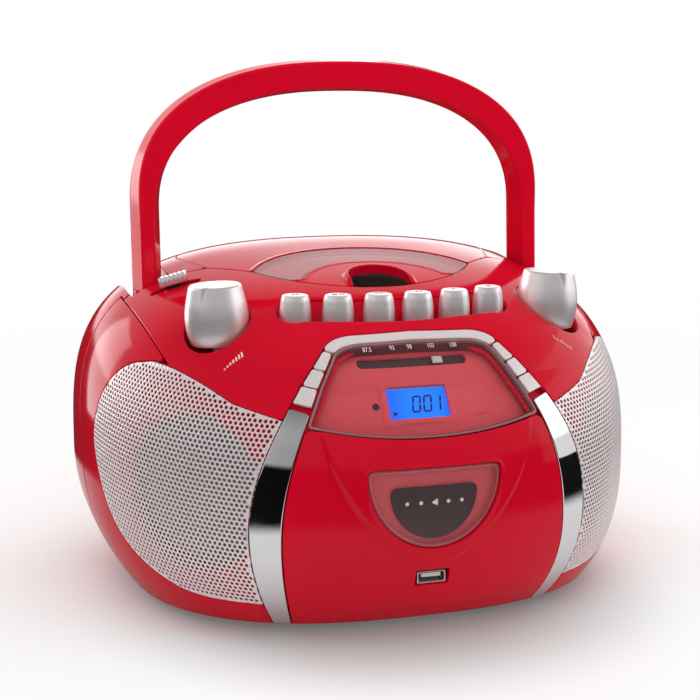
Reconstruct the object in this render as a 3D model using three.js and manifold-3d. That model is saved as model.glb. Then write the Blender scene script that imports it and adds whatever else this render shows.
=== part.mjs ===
// A rounded portable stereo: compact disc and tape player, tuner, two loudspeakers and a raised handle.
// Millimetres, +Z up, the front faces -Y, and the origin is on the floor under the middle of the case.
import * as THREE from 'three';
import Module from 'manifold-3d';
import { ParametricGeometry } from 'three/addons/geometries/ParametricGeometry.js';
import { mergeVertices } from 'three/addons/utils/BufferGeometryUtils.js';

const wasm = await Module();
wasm.setup();

// ---- driving dimensions --------------------------------------------------------------------------------
const gap = 0.3;                    // clearance between neighbouring pieces
const caseHalfWidth = 152.8;        // middle of the case to its side
const frontReach = 151;             // widest ring of the case to its front, before the bulge
const frontBulge = 7.6;             // extra roundness of the front at mid height
const rearReach = 96.5;             // widest ring of the case to its back
const halfDepth = (frontReach + frontBulge + rearReach) / 2;
const ringHeight = 69.5;            // floor to the widest ring
const crownHeight = 107.5;          // widest ring to the top of the case
const bellyDepth = 114;             // widest ring to where the belly would close
const topSlope = 0.098;             // how much the case rises from front to back
const planPower = 2.33;             // squareness of the case seen from above
const crownPower = 3.26;            // squareness of the upper half seen from the front
const bellyPower = 2.03;            // squareness of the lower half seen from the front
const baseHeight = 4.5;             // floor to the underside of the case
const wall = 5;                     // case wall
const skin = 3;                     // cover, door and trim thickness
const meshSkin = 1.5;               // grille thickness
const buttonSkin = 2.2;             // disc button thickness
const buttonTravel = 1;
const windowSkin = 2;               // clear window thickness
const ledge = 4;                    // width of the rim that carries the centre unit

const stripInnerReach = 74;         // half width inside the chrome strips at their widest
const stripOuterReach = 88.5;       // half width outside the chrome strips at their widest
const archTop = 152;                // top of the silver arch
const archBand = 5;                 // width of the arch over the display
const displaySill = 101.5;          // lower edge of the display window on the centre line
const buttonTop = 140.7;            // upper edge of the top disc button
const buttonPitch = 7.75;           // from one disc button to the next
const buttonCount = 3;              // disc buttons on each side

const knobSpread = caseHalfWidth - 61.4;  // centre line to a rotary knob
const knobDepth = 76.05 - halfDepth;  // front-to-back place of the rotary knobs
const knobHeight = 30.1;
const knobFoot = 140.5;
const knobTop = knobFoot + knobHeight;
const knobRadius = 16.2;
const knobLean = 3;                 // degrees, outwards
const keyPitch = 20.9;
const keyRadius = 8;
const keyHeight = 19.1;
const keyTrayFloor = 138.4;
const keyFoot = keyTrayFloor + 7.6;
const keyPlunger = 18;              // length of the plunger under a key
const keyRowFront = 57.55 - halfDepth;  // front-to-back place of the middle keys
const keyRowBow = 320;              // the row bows back by x squared over this
const keyTrayWall = 1.4;

const discRadius = 60;
const lidRearY = halfDepth - 29.55;
const discCentreY = lidRearY - 77;
const lidRadius = 68.2;             // front edge of the disc lid, round the disc's axis
const lidThickness = 2.6;
const wellFloor = 152;              // top of the disc well's floor

const handleTop = 281.8;
const handleGrip = 17.6;            // height of the handle's bar at the top
const handleInnerReach = caseHalfWidth - 47.5;  // half width inside the handle
const handleLeg = 11;               // width of the handle's leg
const handleOuterReach = handleInnerReach + handleLeg;
const handlePivotY = 27.5;
const handlePivotZ = 150;
const handleLean = 3.5;             // degrees, back from upright
const handleDepth = 16;             // front-to-back thickness of the handle
const handlePinRadius = 4;

const doorHingeY = 29.55 - halfDepth;
const doorHingeZ = 11;
const windowHalfWidth = 34;
const windowTop = 87.5;
const windowDrop = 39.5;
const usbWidth = 15;
const usbHeight = 6.2;
const usbCentreZ = 31.1;

const speakerRadius = 44;
const speakerAzimuth = 42;          // degrees from straight ahead, outwards
const speakerX = caseHalfWidth - 45.8;
const speakerY = 49.55 - halfDepth;
const speakerZ = 72;

const cassetteWidth = 100.4;
const cassetteThickness = 12;
const cassetteFloor = 38.5;         // lower edge of a loaded cassette
const hubSpacing = 42.5;            // between the two reel hubs of a cassette
const deckPlateY = 37.55 - halfDepth;  // back face of the tape deck plate
const deckPlateThickness = 2;

// ---- colours and finishes ------------------------------------------------------------------------------
const finishes = {
  red: [0xb8061c, 0.12, 0], silver: [0xc9c7c8, 0.3, 0.8], chrome: [0xe4e2e3, 0.05, 1],
  mesh: [0xd8cfcf, 0.35, 0.7], smoke: [0x6a2b30, 0.05, 0], black: [0x141416, 0.5, 0],
  steel: [0xaeb0b4, 0.35, 1], board: [0x1f5a33, 0.6, 0], copper: [0xa8642f, 0.5, 0.6],
  blue: [0x0a5cff, 0.3, 0], paper: [0x2b2a2c, 0.9, 0], rubber: [0x0e0e0f, 0.8, 0], white: [0xd9d7d3, 0.5, 0],
};
const player = new THREE.Group();

// ---- solids --------------------------------------------------------------------------------------------
// Turns a closed three.js geometry into a solid, dropping the triangles that closed up at a pole.
function solidOf(geometry) {
  const bare = new THREE.BufferGeometry();
  bare.setAttribute('position', geometry.getAttribute('position').clone());
  if (geometry.index) bare.setIndex(geometry.index.clone());
  const merged = mergeVertices(bare, 1e-3);
  const index = merged.index.array;
  const kept = [];
  for (let i = 0; i < index.length; i += 3) {
    const [a, b, c] = [index[i], index[i + 1], index[i + 2]];
    if (a !== b && b !== c && c !== a) kept.push(a, b, c);
  }
  const solid = new wasm.Manifold(new wasm.Mesh({
    numProp: 3,
    vertProperties: new Float32Array(merged.getAttribute('position').array),
    triVerts: new Uint32Array(kept),
  }));
  return solid;
}

function geometryOf(solid) {
  const mesh = solid.getMesh();
  const geometry = new THREE.BufferGeometry();
  geometry.setAttribute('position', new THREE.BufferAttribute(Float32Array.from(mesh.vertProperties), 3));
  geometry.setIndex(new THREE.BufferAttribute(Uint32Array.from(mesh.triVerts), 1));
  geometry.computeVertexNormals();
  return geometry;
}

function add(name, finish, solid) {
  const [color, roughness, metalness] = finishes[finish];
  const material = new THREE.MeshStandardMaterial({ color, roughness, metalness, flatShading: true });
  const mesh = new THREE.Mesh(geometryOf(solid), material);
  mesh.name = name;
  player.add(mesh);
}

const join = (...solids) => solids.reduce((all, next) => all.add(next));
const mirrored = (solid) => solid.mirror([1, 0, 0]);

function box(x0, x1, y0, y1, z0, z1) {
  const block = new THREE.BoxGeometry(x1 - x0, y1 - y0, z1 - z0);
  return solidOf(block.translate((x0 + x1) / 2, (y0 + y1) / 2, (z0 + z1) / 2));
}

// A straight round bar between two points.
function rod(from, to, radius, sides = 16, endRadius = radius) {
  const a = new THREE.Vector3(...from);
  const b = new THREE.Vector3(...to);
  const along = b.clone().sub(a);
  const bar = new THREE.CylinderGeometry(endRadius, radius, along.length(), sides);
  const turn = new THREE.Quaternion();
  turn.setFromUnitVectors(new THREE.Vector3(0, 1, 0), along.clone().normalize());
  bar.applyQuaternion(turn).translate(...a.add(b).multiplyScalar(0.5).toArray());
  return solidOf(bar);
}

// A turned piece: the profile is [radius, height] pairs, and the axis starts at `foot` along `axis`.
function turned(profile, foot, axis, sides = 24) {
  const lathe = new THREE.LatheGeometry(profile.map(([r, h]) => new THREE.Vector2(r, h)), sides);
  const up = new THREE.Vector3(...axis).normalize();
  lathe.applyQuaternion(new THREE.Quaternion().setFromUnitVectors(new THREE.Vector3(0, 1, 0), up));
  return solidOf(lathe.translate(...foot));
}

function shapeOf(points) {
  return new THREE.Shape(points.map(([a, b]) => new THREE.Vector2(a, b)));
}

// Bars whose section is an outline seen from the front, from above or from the side.
function frontPrism(points, y0, y1) {
  const bar = new THREE.ExtrudeGeometry(shapeOf(points), { depth: y1 - y0, bevelEnabled: false });
  return solidOf(bar.rotateX(Math.PI / 2).translate(0, y1, 0));
}

function topPrism(points, z0, z1) {
  const bar = new THREE.ExtrudeGeometry(shapeOf(points), { depth: z1 - z0, bevelEnabled: false });
  return solidOf(bar.translate(0, 0, z0));
}

function sidePrism(points, x0, x1) {
  const bar = new THREE.ExtrudeGeometry(shapeOf(points), { depth: x1 - x0, bevelEnabled: false });
  const turn = new THREE.Matrix4().makeBasis(
    new THREE.Vector3(0, 1, 0), new THREE.Vector3(0, 0, 1), new THREE.Vector3(1, 0, 0));
  return solidOf(bar.applyMatrix4(turn).translate(x0, 0, 0));
}

// Moves an anticlockwise outline outwards by a distance, or inwards by a negative one.
function grown(points, distance) {
  const count = points.length;
  return points.map(([x, y], i) => {
    const [ax, ay] = points[(i + count - 1) % count];
    const [bx, by] = points[(i + 1) % count];
    const before = new THREE.Vector2(x - ax, y - ay).normalize();
    const after = new THREE.Vector2(bx - x, by - y).normalize();
    const normal = new THREE.Vector2(before.y + after.y, -before.x - after.x).normalize();
    const reach = distance / Math.max(0.5, normal.dot(new THREE.Vector2(before.y, -before.x)));
    return [x + normal.x * reach, y + normal.y * reach];
  });
}

// An outline from its right half, given from the bottom up, with the left half added as its mirror image.
function symmetric(right) {
  const left = right.filter(([x]) => x > 1e-6).map(([x, y]) => [-x, y]).reverse();
  return [...right, ...left];
}

function curve(from, control, to, steps) {
  const bend = new THREE.QuadraticBezierCurve(
    new THREE.Vector2(...from), new THREE.Vector2(...control), new THREE.Vector2(...to));
  return bend.getPoints(steps).map((point) => [point.x, point.y]);
}

function arc(centre, radius, fromDegrees, toDegrees, steps) {
  return Array.from({ length: steps + 1 }, (_, i) => {
    const angle = THREE.MathUtils.degToRad(fromDegrees + (toDegrees - fromDegrees) * i / steps);
    return [centre[0] + radius * Math.cos(angle), centre[1] + radius * Math.sin(angle)];
  });
}

// ---- the rounded case ----------------------------------------------------------------------------------
const caseMiddleY = halfDepth - rearReach;
const bulgeMiddle = 6.8;            // above the widest ring
const bulgeReach = 61.7;            // how far up and down the bulge goes
const power = (value, exponent) => Math.sign(value) * Math.abs(value) ** exponent;
const bulge = (h) => frontBulge * Math.max(0, 1 - Math.abs((h - bulgeMiddle) / bulgeReach) ** 3);
const planPowerAt = (h) => planPower + (h < 0 ? 0.4 * (h / 60) ** 2 : 0);

// A point of the case, `inset` inside its outer surface, at a turn round it and a lift above its ring.
function casePoint(turn, lift, inset) {
  const [depth, roundness] = lift > 0 ? [crownHeight, crownPower] : [bellyDepth, bellyPower];
  const h = (depth - inset) * power(Math.sin(lift), 2 / roundness);
  const ring = Math.abs(Math.cos(lift)) ** (2 / roundness);
  const plan = 2 / planPowerAt(h);
  const reach = Math.cos(turn) > 0 ? frontReach + bulge(h) : rearReach;
  const x = (caseHalfWidth - inset) * ring * power(Math.sin(turn), plan);
  const y = -(reach - inset) * ring * power(Math.cos(turn), plan);
  return new THREE.Vector3(x, y + caseMiddleY, ringHeight + h + topSlope * y);
}

function caseSolid(inset, floor, turns = 34, lifts = 16) {
  const surface = new ParametricGeometry((u, v, target) => {
    const turn = (u % 1) * 2 * Math.PI;
    const lift = (v - 0.5) * Math.PI;
    const pole = v === 0 || v === 1;
    target.copy(casePoint(pole ? 0 : turn, lift, inset));
  }, turns, lifts);
  const whole = solidOf(surface);
  return whole.subtract(box(-400, 400, -400, 400, -400, floor));
}

// Where the case's front is at a place seen from the front, and its top at a place seen from above.
function frontY(x, z, inset = 0) {
  let y = -90;
  for (let pass = 0; pass < 30; pass += 1) {
    const h = z - topSlope * (y - caseMiddleY) - ringHeight;
    const [depth, roundness] = h > 0 ? [crownHeight, crownPower] : [bellyDepth, bellyPower];
    const plan = planPowerAt(h);
    const ring = Math.max(0, 1 - Math.abs(h / (depth - inset)) ** roundness) ** (1 / roundness);
    const across = Math.max(0, ring ** plan - Math.abs(x / (caseHalfWidth - inset)) ** plan) ** (1 / plan);
    y = caseMiddleY - (frontReach + bulge(h) - inset) * across;
  }
  return y;
}

function topZ(x, y, inset = 0) {
  const reach = (y < caseMiddleY ? frontReach : rearReach) - inset;
  const across = Math.abs(x / (caseHalfWidth - inset)) ** planPower;
  const plan = across + Math.abs((y - caseMiddleY) / reach) ** planPower;
  const ring = plan ** (crownPower / planPower);
  const h = (crownHeight - inset) * Math.max(0, 1 - ring) ** (1 / crownPower);
  return ringHeight + h + topSlope * (y - caseMiddleY);
}

const outer = caseSolid(0, baseHeight);
const layers = new Map();
function layer(from, to, floor = baseHeight) {
  const key = `${from} ${to} ${floor}`;
  if (!layers.has(key)) layers.set(key, caseSolid(from, floor).subtract(caseSolid(to, floor - 1)));
  return layers.get(key);
}

// ---- outlines ------------------------------------------------------------------------------------------
// The chrome strips' edges seen from the front: half width at a height, curling in above and below.
const stripInner = (z) => stripInnerReach - (z - 52) ** 2 / 240;
const stripOuter = (z) => stripOuterReach - (z - 56) ** 2 / 172;

function heights(from, to, steps) {
  return Array.from({ length: steps + 1 }, (_, i) => from + (to - from) * i / steps);
}

const archShoulder = archTop - 11;
function centreUnitOutline(bottom = -20) {
  const side = heights(bottom, archShoulder, 14).map((z) => [stripOuter(Math.max(z, 0)), z]);
  const start = side[side.length - 1];
  const corner = curve(start, [start[0] - 6.5, archTop - 3.4], [26, archTop - 1.2], 5).slice(1);
  return symmetric([...side, ...corner, [0, archTop]]);
}

const displaySillAt = (x) => displaySill + x * x / 560;
function displayOutline() {
  const startZ = 107.8;
  const sill = heights(0, stripInner(startZ) - 2, 6).map((x) => [x, displaySillAt(x)]);
  const side = heights(startZ + 1, archShoulder - 2, 5).map((z) => [stripInner(z) - 2 * gap, z]);
  const end = side[side.length - 1];
  const top = archTop - archBand;
  const corner = curve(end, [end[0] - 5, top - 2.2], [24, top - 0.9], 4).slice(1);
  return symmetric([...sill, ...side, ...corner, [0, top]]);
}

function doorOutline(bottom) {
  const side = heights(bottom, 105, 9).map((z) => [stripInner(z) - gap, z]);
  const top = heights(stripInner(106) - 3, 0, 6).map((x) => [x, displaySillAt(x) - 2 * gap]);
  return symmetric([...side, ...top]);
}

// The half-moon window of the cassette door: a straight top with round corners over half an ellipse.
function halfMoon(halfWidth, top, drop) {
  const bowl = arc([0, 0], 1, -90, 0, 9).map(([x, z]) => [x * halfWidth, top - 3 + z * (drop - 3)]);
  bowl[0][0] = 0;
  const corner = curve(bowl[bowl.length - 1], [halfWidth, top], [halfWidth - 5, top], 3).slice(1);
  return symmetric([...bowl, ...corner]);
}

// The edge between a grille and the control panel, from the shoulder down to the chrome strip.
const fromSide = (distance) => caseHalfWidth - distance;
const panelRoof = () => curve([fromSide(28.8), 132.5], [fromSide(40.8), 132], [fromSide(60.8), 117.5], 4);

// A loudspeaker grille on the right side. Seen from the front it follows the chrome strip and the panel's
// edge; seen from the side its rear edge is a smooth bow.
function grilleFrontOutline() {
  const inner = heights(111, 17.8, 8).map((z) => [stripOuter(z) + gap, z]);
  const past = caseHalfWidth + 17.2;
  return [...inner, [fromSide(48.8), 18.6], [fromSide(34.8), 12], [past, 12], [past, 133], ...panelRoof()];
}

function grilleSideOutline() {
  const bow = [
    [-86, 18.5], [-74, 21], [-58, 29], [-44, 39], [-31, 54], [-19, 74],
    [-14, 90], [-18, 108], [-25, 121], [-34, 129], [-46, 132.2],
  ];
  return [[-200, 15], [-100, 15.5], ...bow, [-70, 150], [-200, 150]];
}

function rightGrillePrism(extra) {
  return frontPrism(grown(grilleFrontOutline(), extra), -260, 10)
    .intersect(sidePrism(grown(grilleSideOutline(), extra), 20, 200));
}

// The control panel: above the grilles and between the two shoulder seams, behind and round the arch.
function panelOutline() {
  const roof = panelRoof().reverse().slice(0, -1);
  const shoulder = [[fromSide(35.8), 132.6], [fromSide(26.8), 154], [fromSide(26.8), 210]];
  return symmetric([[0, 111], [stripOuter(111) + gap, 111], ...roof, ...shoulder]);
}

function lidOutline() {
  const front = arc([0, discCentreY], lidRadius, -90, -25.6, 9);
  front[0][0] = 0;
  const wing = [[81, 12], [90.5, 50], [90, 55], [86, 61]];
  return symmetric([...front, ...wing, [62, lidRearY - 5], [54, lidRearY], [0, lidRearY]]);
}

// The panel's region seen from above: in front of the seam that runs from shoulder to lid.
function panelTopOutline() {
  const lidFront = arc([0, discCentreY], lidRadius + gap, -25.6, -154.4, 18);
  const right = [
    [fromSide(-7.2), 40], [fromSide(26.8), 24], [fromSide(31.8), 17.5], [fromSide(52.8), 17],
    [81 + gap, 12],
  ];
  const left = right.map(([x, y]) => [-x, y]).reverse();
  return [[-160, -260], [160, -260], ...right, ...lidFront, ...left];
}

const seamY = (z) => 7 + 0.25 * (z - 65);
const frontHalf = (extra) => sidePrism(
  [[-300, -60], [seamY(-60) + extra, -60], [seamY(260) + extra, 260], [-300, 260]], -300, 300);

// ---- speaker place -------------------------------------------------------------------------------------
const azimuth = THREE.MathUtils.degToRad(speakerAzimuth);
const speakerOut = new THREE.Vector3(Math.sin(azimuth), -Math.cos(azimuth), 0);
const speakerAt = (depth) => new THREE.Vector3(speakerX, speakerY, speakerZ)
  .addScaledVector(speakerOut, -depth).toArray();
const speakerSeat = 12;             // grille centre back to the speaker's mounting plane

// ---- case pieces ---------------------------------------------------------------------------------------
const centreUnit = (extra, bottom) => frontPrism(grown(centreUnitOutline(bottom), extra), -260, 30);
const panelPrism = (extra) => frontPrism(grown(panelOutline(), extra), -260, 60);
const bothSides = (solid) => join(solid, mirrored(solid));

function foot(x, y) {
  return rod([x, y, 0], [x, y, baseHeight + 1], 8, 12);
}

function frontCabinet() {
  const shell = outer.subtract(caseSolid(wall, baseHeight + wall, 24, 14));
  const collar = rod(speakerAt(-20), speakerAt(speakerSeat), speakerRadius + 3, 20)
    .intersect(caseSolid(meshSkin + gap, baseHeight));
  const bore = rod(speakerAt(-30), speakerAt(speakerSeat + 1), speakerRadius - 4, 20);
  const body = join(shell.intersect(frontHalf(0)), bothSides(collar), foot(88, -60), foot(-88, -60));
  const unitRecess = centreUnit(gap, -20).subtract(caseSolid(skin + gap, -20));
  const grilleRecess = rightGrillePrism(gap).subtract(caseSolid(meshSkin + gap, -20));
  const opening = frontPrism(openingOutline(), -260, -20);
  const hingeRoom = box(-33, 33, -200, doorHingeY + 3.6, doorHingeZ - 3.2, doorHingeZ + 6);
  const sill = frontPrism(grown(doorOutline(-20), 2 * gap), -260, -60)
    .intersect(box(-90, 90, -260, -60, -20, baseHeight + wall + 3)).subtract(caseSolid(skin + 4, -20));
  const pocket = panelPrism(gap).subtract(centreUnit(0, -20));
  const buttonFloor = caseSolid(buttonSkin + buttonTravel + gap, -20);
  const buttonRecess = buttonPrism(0, buttonCount, gap).subtract(buttonFloor);
  const stems = Array.from({ length: buttonCount }, (_, n) => buttonStem(n, 1.6 + gap, 14));
  const buttons = bothSides(join(buttonRecess, ...stems));
  const tray = keyTray(keyTrayWall + gap);
  const bosses = join(doorHingeBoss(1), doorHingeBoss(-1));
  const postTop = usbCentreZ - usbHeight / 2 - 1.9;
  const usbPost = box(-11, 11, deckPlateY - 6, deckPlateY - 3.3, baseHeight + wall - 1, postTop);
  return body.subtract(join(pocket, unitRecess, bothSides(grilleRecess), bothSides(bore), opening, hingeRoom,
    sill, buttons, tray)).add(bosses).add(usbPost);
}

// The opening behind the centre unit: inside the strips and under the arch, one ledge smaller.
function openingOutline() {
  const side = heights(baseHeight + wall, 138, 9).map((z) => [stripInner(z) - ledge, z]);
  return symmetric([...side, [28, archTop - archBand - ledge], [0, archTop - archBand - ledge + 1]]);
}

function doorHingeBoss(side) {
  const [a, b] = [27, 32].map((x) => x * side).sort((p, q) => p - q);
  const block = box(a, b, doorHingeY - 2.4, doorHingeY + 8, baseHeight + 2, doorHingeZ + 2.8);
  const pivot = rod([a - 1, doorHingeY, doorHingeZ], [b + 1, doorHingeY, doorHingeZ], 1.2 + gap, 12);
  return block.subtract(pivot);
}

// The two ends of a bar across the handle's leg, past its inner and outer faces.
const handleSpan = (side, inwards, outwards) => [handleInnerReach - inwards, handleOuterReach + outwards]
  .map((x) => [side * x, handlePivotY, handlePivotZ]);

const channel = {
  x0: handleInnerReach - 4.1, x1: handleOuterReach + 4.7, y0: 18.6, y1: 116,
  z0: handlePivotZ - 9.5, wall: 2,
};
function handleChannel(side, extra) {
  const { x0, x1, y0, y1, z0 } = channel;
  const [a, b] = [side * (x0 - extra), side * (x1 + extra)].sort((p, q) => p - q);
  return box(a, b, y0 - extra * 0.6, y1 + extra, z0 - extra, 200);
}

function rearCabinet() {
  const shell = outer.subtract(caseSolid(wall, baseHeight + wall, 24, 14));
  const panelZone = panelPrism(0);
  const frontZone = join(
    frontHalf(gap).subtract(panelZone),
    panelZone.intersect(topPrism(grown(panelTopOutline(), gap), 100, 260)));
  const panelSkin = panelPrism(gap).intersect(topPrism(grown(panelTopOutline(), gap), 100, 260))
    .subtract(caseSolid(skin + gap, -20));
  const wells = join(...[1, -1].map((side) => handleChannel(side, channel.wall))).intersect(outer)
    .subtract(panelSkin);
  const rebateBlock = box(-86, 86, antennaY - 9, 200, antennaZ - 8, 260).intersect(outer);
  const batteryBox = box(-80, 30, 56, 200, 16, 86).intersect(outer);
  const inletBlock = box(54, 90, 84, 200, 24, 54).intersect(outer);
  const feet = bothSides(foot(88, 72));
  let body = join(shell.subtract(frontZone), wells, rebateBlock, batteryBox, inletBlock, feet);
  body = body.subtract(box(-84, 84, antennaY - 4.5, 300, antennaZ - 4, 300));
  const hingeEdge = box(-56, 56, lidRearY - 1, lidRearY + 1, 120, 260);
  body = body.subtract(topPrism(grown(lidOutline(), gap), 120, 260)).subtract(hingeEdge);
  for (const side of [1, -1]) {
    body = body.subtract(handleChannel(side, 0));
    const pivot = handleSpan(side, 7.3, 7.7);
    body = body.subtract(rod(...pivot, handlePinRadius + gap, 16));
  }
  body = body.subtract(box(-77.5, 27.5, 58.5, 300, 19, 83));
  const batterySeat = frontPrism(grown(batteryOutline(), gap), 90, 300).subtract(caseSolid(skin + gap, -20));
  body = body.subtract(batterySeat);
  body = body.subtract(box(58 - gap, 86 + gap, 86, 300, 27 - gap, 51 + gap));
  return body.subtract(lidHingeSpace());
}

const batteryOutline = () => [[-79, 17.5], [29, 17.5], [29, 84.5], [-79, 84.5]];

function controlPanel() {
  const zone = panelPrism(0).intersect(topPrism(panelTopOutline(), 100, 260));
  let body = layer(0, skin).intersect(zone);
  for (const side of [1, -1]) {
    const { foot: low, axis } = knobAxis(side);
    const end = low.clone().addScaledVector(axis, 60).toArray();
    const start = low.clone().addScaledVector(axis, -6.5).toArray();
    const cup = rod(start, end, knobRadius + 2.8, 20).intersect(outer).intersect(zone);
    const floorHeight = low.clone().addScaledVector(axis, -4).toArray();
    const shaft = rod(low.clone().addScaledVector(axis, -20).toArray(), end, 3.3 + gap, 12);
    body = join(body, cup).subtract(rod(floorHeight, end, knobRadius + 1, 20)).subtract(shaft);
  }
  body = join(body, keyTray(keyTrayWall).intersect(outer)).subtract(keyTray(0));
  for (const x of keyPlaces) {
    const through = [[x, keyY(x), keyTrayFloor - 18], [x, keyY(x), keyFoot + 4]];
    body = body.subtract(rod(...through, 2.5 + gap, 10));
  }
  const slot = sliderFrame(box(-14, 14, -2.2, 2.2, -20, 20));
  return body.subtract(slot).subtract(centreUnit(gap, -20).subtract(caseSolid(skin + gap, -20)));
}

const knobAxis = (side) => {
  const lean = THREE.MathUtils.degToRad(knobLean);
  const axis = new THREE.Vector3(side * Math.sin(lean), 0, Math.cos(lean));
  const top = new THREE.Vector3(side * knobSpread, knobDepth, knobTop);
  return { axis, foot: top.clone().addScaledVector(axis, -knobHeight) };
};

const keyPlaces = Array.from({ length: 6 }, (_, i) => (i - 2.5) * keyPitch);
const keyY = (x) => keyRowFront + x * x / keyRowBow;
function keyTrayOutline() {
  const reach = 2.5 * keyPitch;
  const radius = keyRadius + 1.2;
  const front = heights(-reach, reach, 8).map((x) => [x, keyY(x) - radius]);
  const back = heights(reach, -reach, 8).map((x) => [x, keyY(x) + radius]);
  const end = keyY(reach);
  return [...front.slice(1, -1), ...arc([reach, end], radius + 0.6, -90, 90, 6),
    ...back.slice(1, -1), ...arc([-reach, end], radius + 0.6, 90, 270, 6)];
}
const keyTray = (extra) => topPrism(grown(keyTrayOutline(), extra), keyTrayFloor - extra, 260);

// The function slide lies across the left shoulder; its own frame has X along the slot, Z out of the case.
const sliderX = -fromSide(51.3);
const sliderMiddle = new THREE.Vector3(sliderX, 0.5, topZ(sliderX, 0.5));
const sliderAlong = new THREE.Vector3(28, -9, 0).normalize();
function sliderFrame(solid) {
  const step = 6;
  const rise = topZ(sliderMiddle.x + sliderAlong.x * step, sliderMiddle.y + sliderAlong.y * step)
    - topZ(sliderMiddle.x - sliderAlong.x * step, sliderMiddle.y - sliderAlong.y * step);
  const along = new THREE.Vector3(sliderAlong.x, sliderAlong.y, rise / (2 * step)).normalize();
  const across = new THREE.Vector3(0, 0, 1).cross(along).normalize();
  const up = along.clone().cross(across);
  const place = new THREE.Matrix4().makeBasis(along, across, up).setPosition(sliderMiddle);
  return solid.transform(place.elements);
}

// ---- front trim, grilles, buttons and windows ----------------------------------------------------------
function trimStrip() {
  const outline = [
    ...heights(-20, 116.6, 12).map((z) => [stripOuter(Math.max(z, 0)), z]),
    ...heights(114, -20, 12).map((z) => [stripInner(Math.max(z, 0)) + gap, z]),
  ];
  return layer(0, skin, baseHeight + gap).intersect(frontPrism(outline, -260, -20));
}

// Upper and lower edges of the disc buttons: points on the inner and outer strip edges.
const buttonEdge = (i) => {
  const inner = buttonTop - 0.6 - buttonPitch * i;
  const outerZ = buttonTop + 0.6 - (buttonPitch - 0.3) * i;
  return [[stripInner(inner) + gap, inner], [stripOuter(outerZ), outerZ]];
};

function buttonPrism(first, last, extra) {
  const [a, b] = buttonEdge(first);
  const [c, d] = buttonEdge(last);
  return frontPrism(grown([c, d, b, a], extra), -260, -20);
}

// A button's plunger runs straight back from the middle of the button, the way it is pressed.
function buttonStem(i, radius, length) {
  const corners = [...buttonEdge(i), ...buttonEdge(i + 1)];
  const x = corners.reduce((sum, [cornerX]) => sum + cornerX, 0) / 4;
  const z = corners.reduce((sum, [, cornerZ]) => sum + cornerZ, 0) / 4;
  const y = frontY(x, z, buttonSkin) - 1;
  return rod([x, y, z], [x, y + length, z], radius, 10);
}

function discButton(i) {
  return layer(0, buttonSkin).intersect(buttonPrism(i, i + 1, -gap / 2)).add(buttonStem(i, 1.6, 6));
}

function trimArch() {
  const cut = grown(displayOutline(), gap);
  const [a, b] = buttonEdge(0);
  const slope = (b[1] - a[1]) / (b[0] - a[0]);
  const low = symmetric([[0, 100], [90, 100], [90, a[1] + slope * (90 - a[0]) + gap / 2],
    [a[0] - 2, a[1] - slope * 2 + gap / 2], [0, a[1] - slope * 2 + gap / 2]]);
  return layer(0, skin).intersect(centreUnit(0, 120)).subtract(frontPrism(cut, -260, 30))
    .subtract(frontPrism(low, -260, 30)).subtract(keyTray(keyTrayWall + gap));
}

function rightGrille() {
  return layer(0, meshSkin).intersect(rightGrillePrism(0));
}

function displayWindow() {
  return layer(0.4, 0.4 + windowSkin).intersect(frontPrism(displayOutline(), -260, -20));
}

const bezelFront = wall + 2.1;
const lcd = { x: 0, z: 117, width: 31, height: 15, depth: 5 };
const dial = { z: 135.6, halfWidth: 29, height: 4.6, pointerX: 13, pointerWidth: 4.4 };
const lcdTilt = Math.atan2(frontY(0, lcd.z + 8) - frontY(0, lcd.z - 8), 16);
function lcdFrame(solid) {
  const place = new THREE.Matrix4().makeRotationX(-lcdTilt)
    .setPosition(lcd.x, frontY(lcd.x, lcd.z, bezelFront), lcd.z);
  return solid.transform(place.elements);
}

function displayBezel() {
  const outline = grown(displayOutline(), ledge - 1)
    .map(([x, z]) => [x, Math.max(z, displaySillAt(x) + 2.5)]);
  const hole = lcdFrame(box(-lcd.width / 2 - gap, lcd.width / 2 + gap, -30, 30,
    -lcd.height / 2 - gap, lcd.height / 2 + gap));
  const half = dial.height / 2;
  const slot = box(-dial.halfWidth, dial.halfWidth, -200, 0, dial.z - half, dial.z + half);
  return layer(bezelFront, bezelFront + 2.5).intersect(frontPrism(outline, -260, -20))
    .subtract(hole).subtract(slot).subtract(keyTray(keyTrayWall + gap));
}

function lcdModule() {
  const glass = box(-lcd.width / 2, lcd.width / 2, 0.6, 7, -lcd.height / 2, lcd.height / 2);
  const frame = box(-lcd.width / 2 - 3, lcd.width / 2 + 3, 5.4, 9, -lcd.height / 2 - 2, lcd.height / 2 + 2);
  return lcdFrame(join(glass, frame));
}

function dialPointer() {
  const front = frontY(dial.halfWidth, dial.z, 0.4 + windowSkin) + 2.6;
  const half = dial.pointerWidth / 2;
  const tall = dial.height / 2 - 0.6;
  return box(dial.pointerX - half, dial.pointerX + half, front, front + 9, dial.z - tall, dial.z + tall);
}

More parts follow.
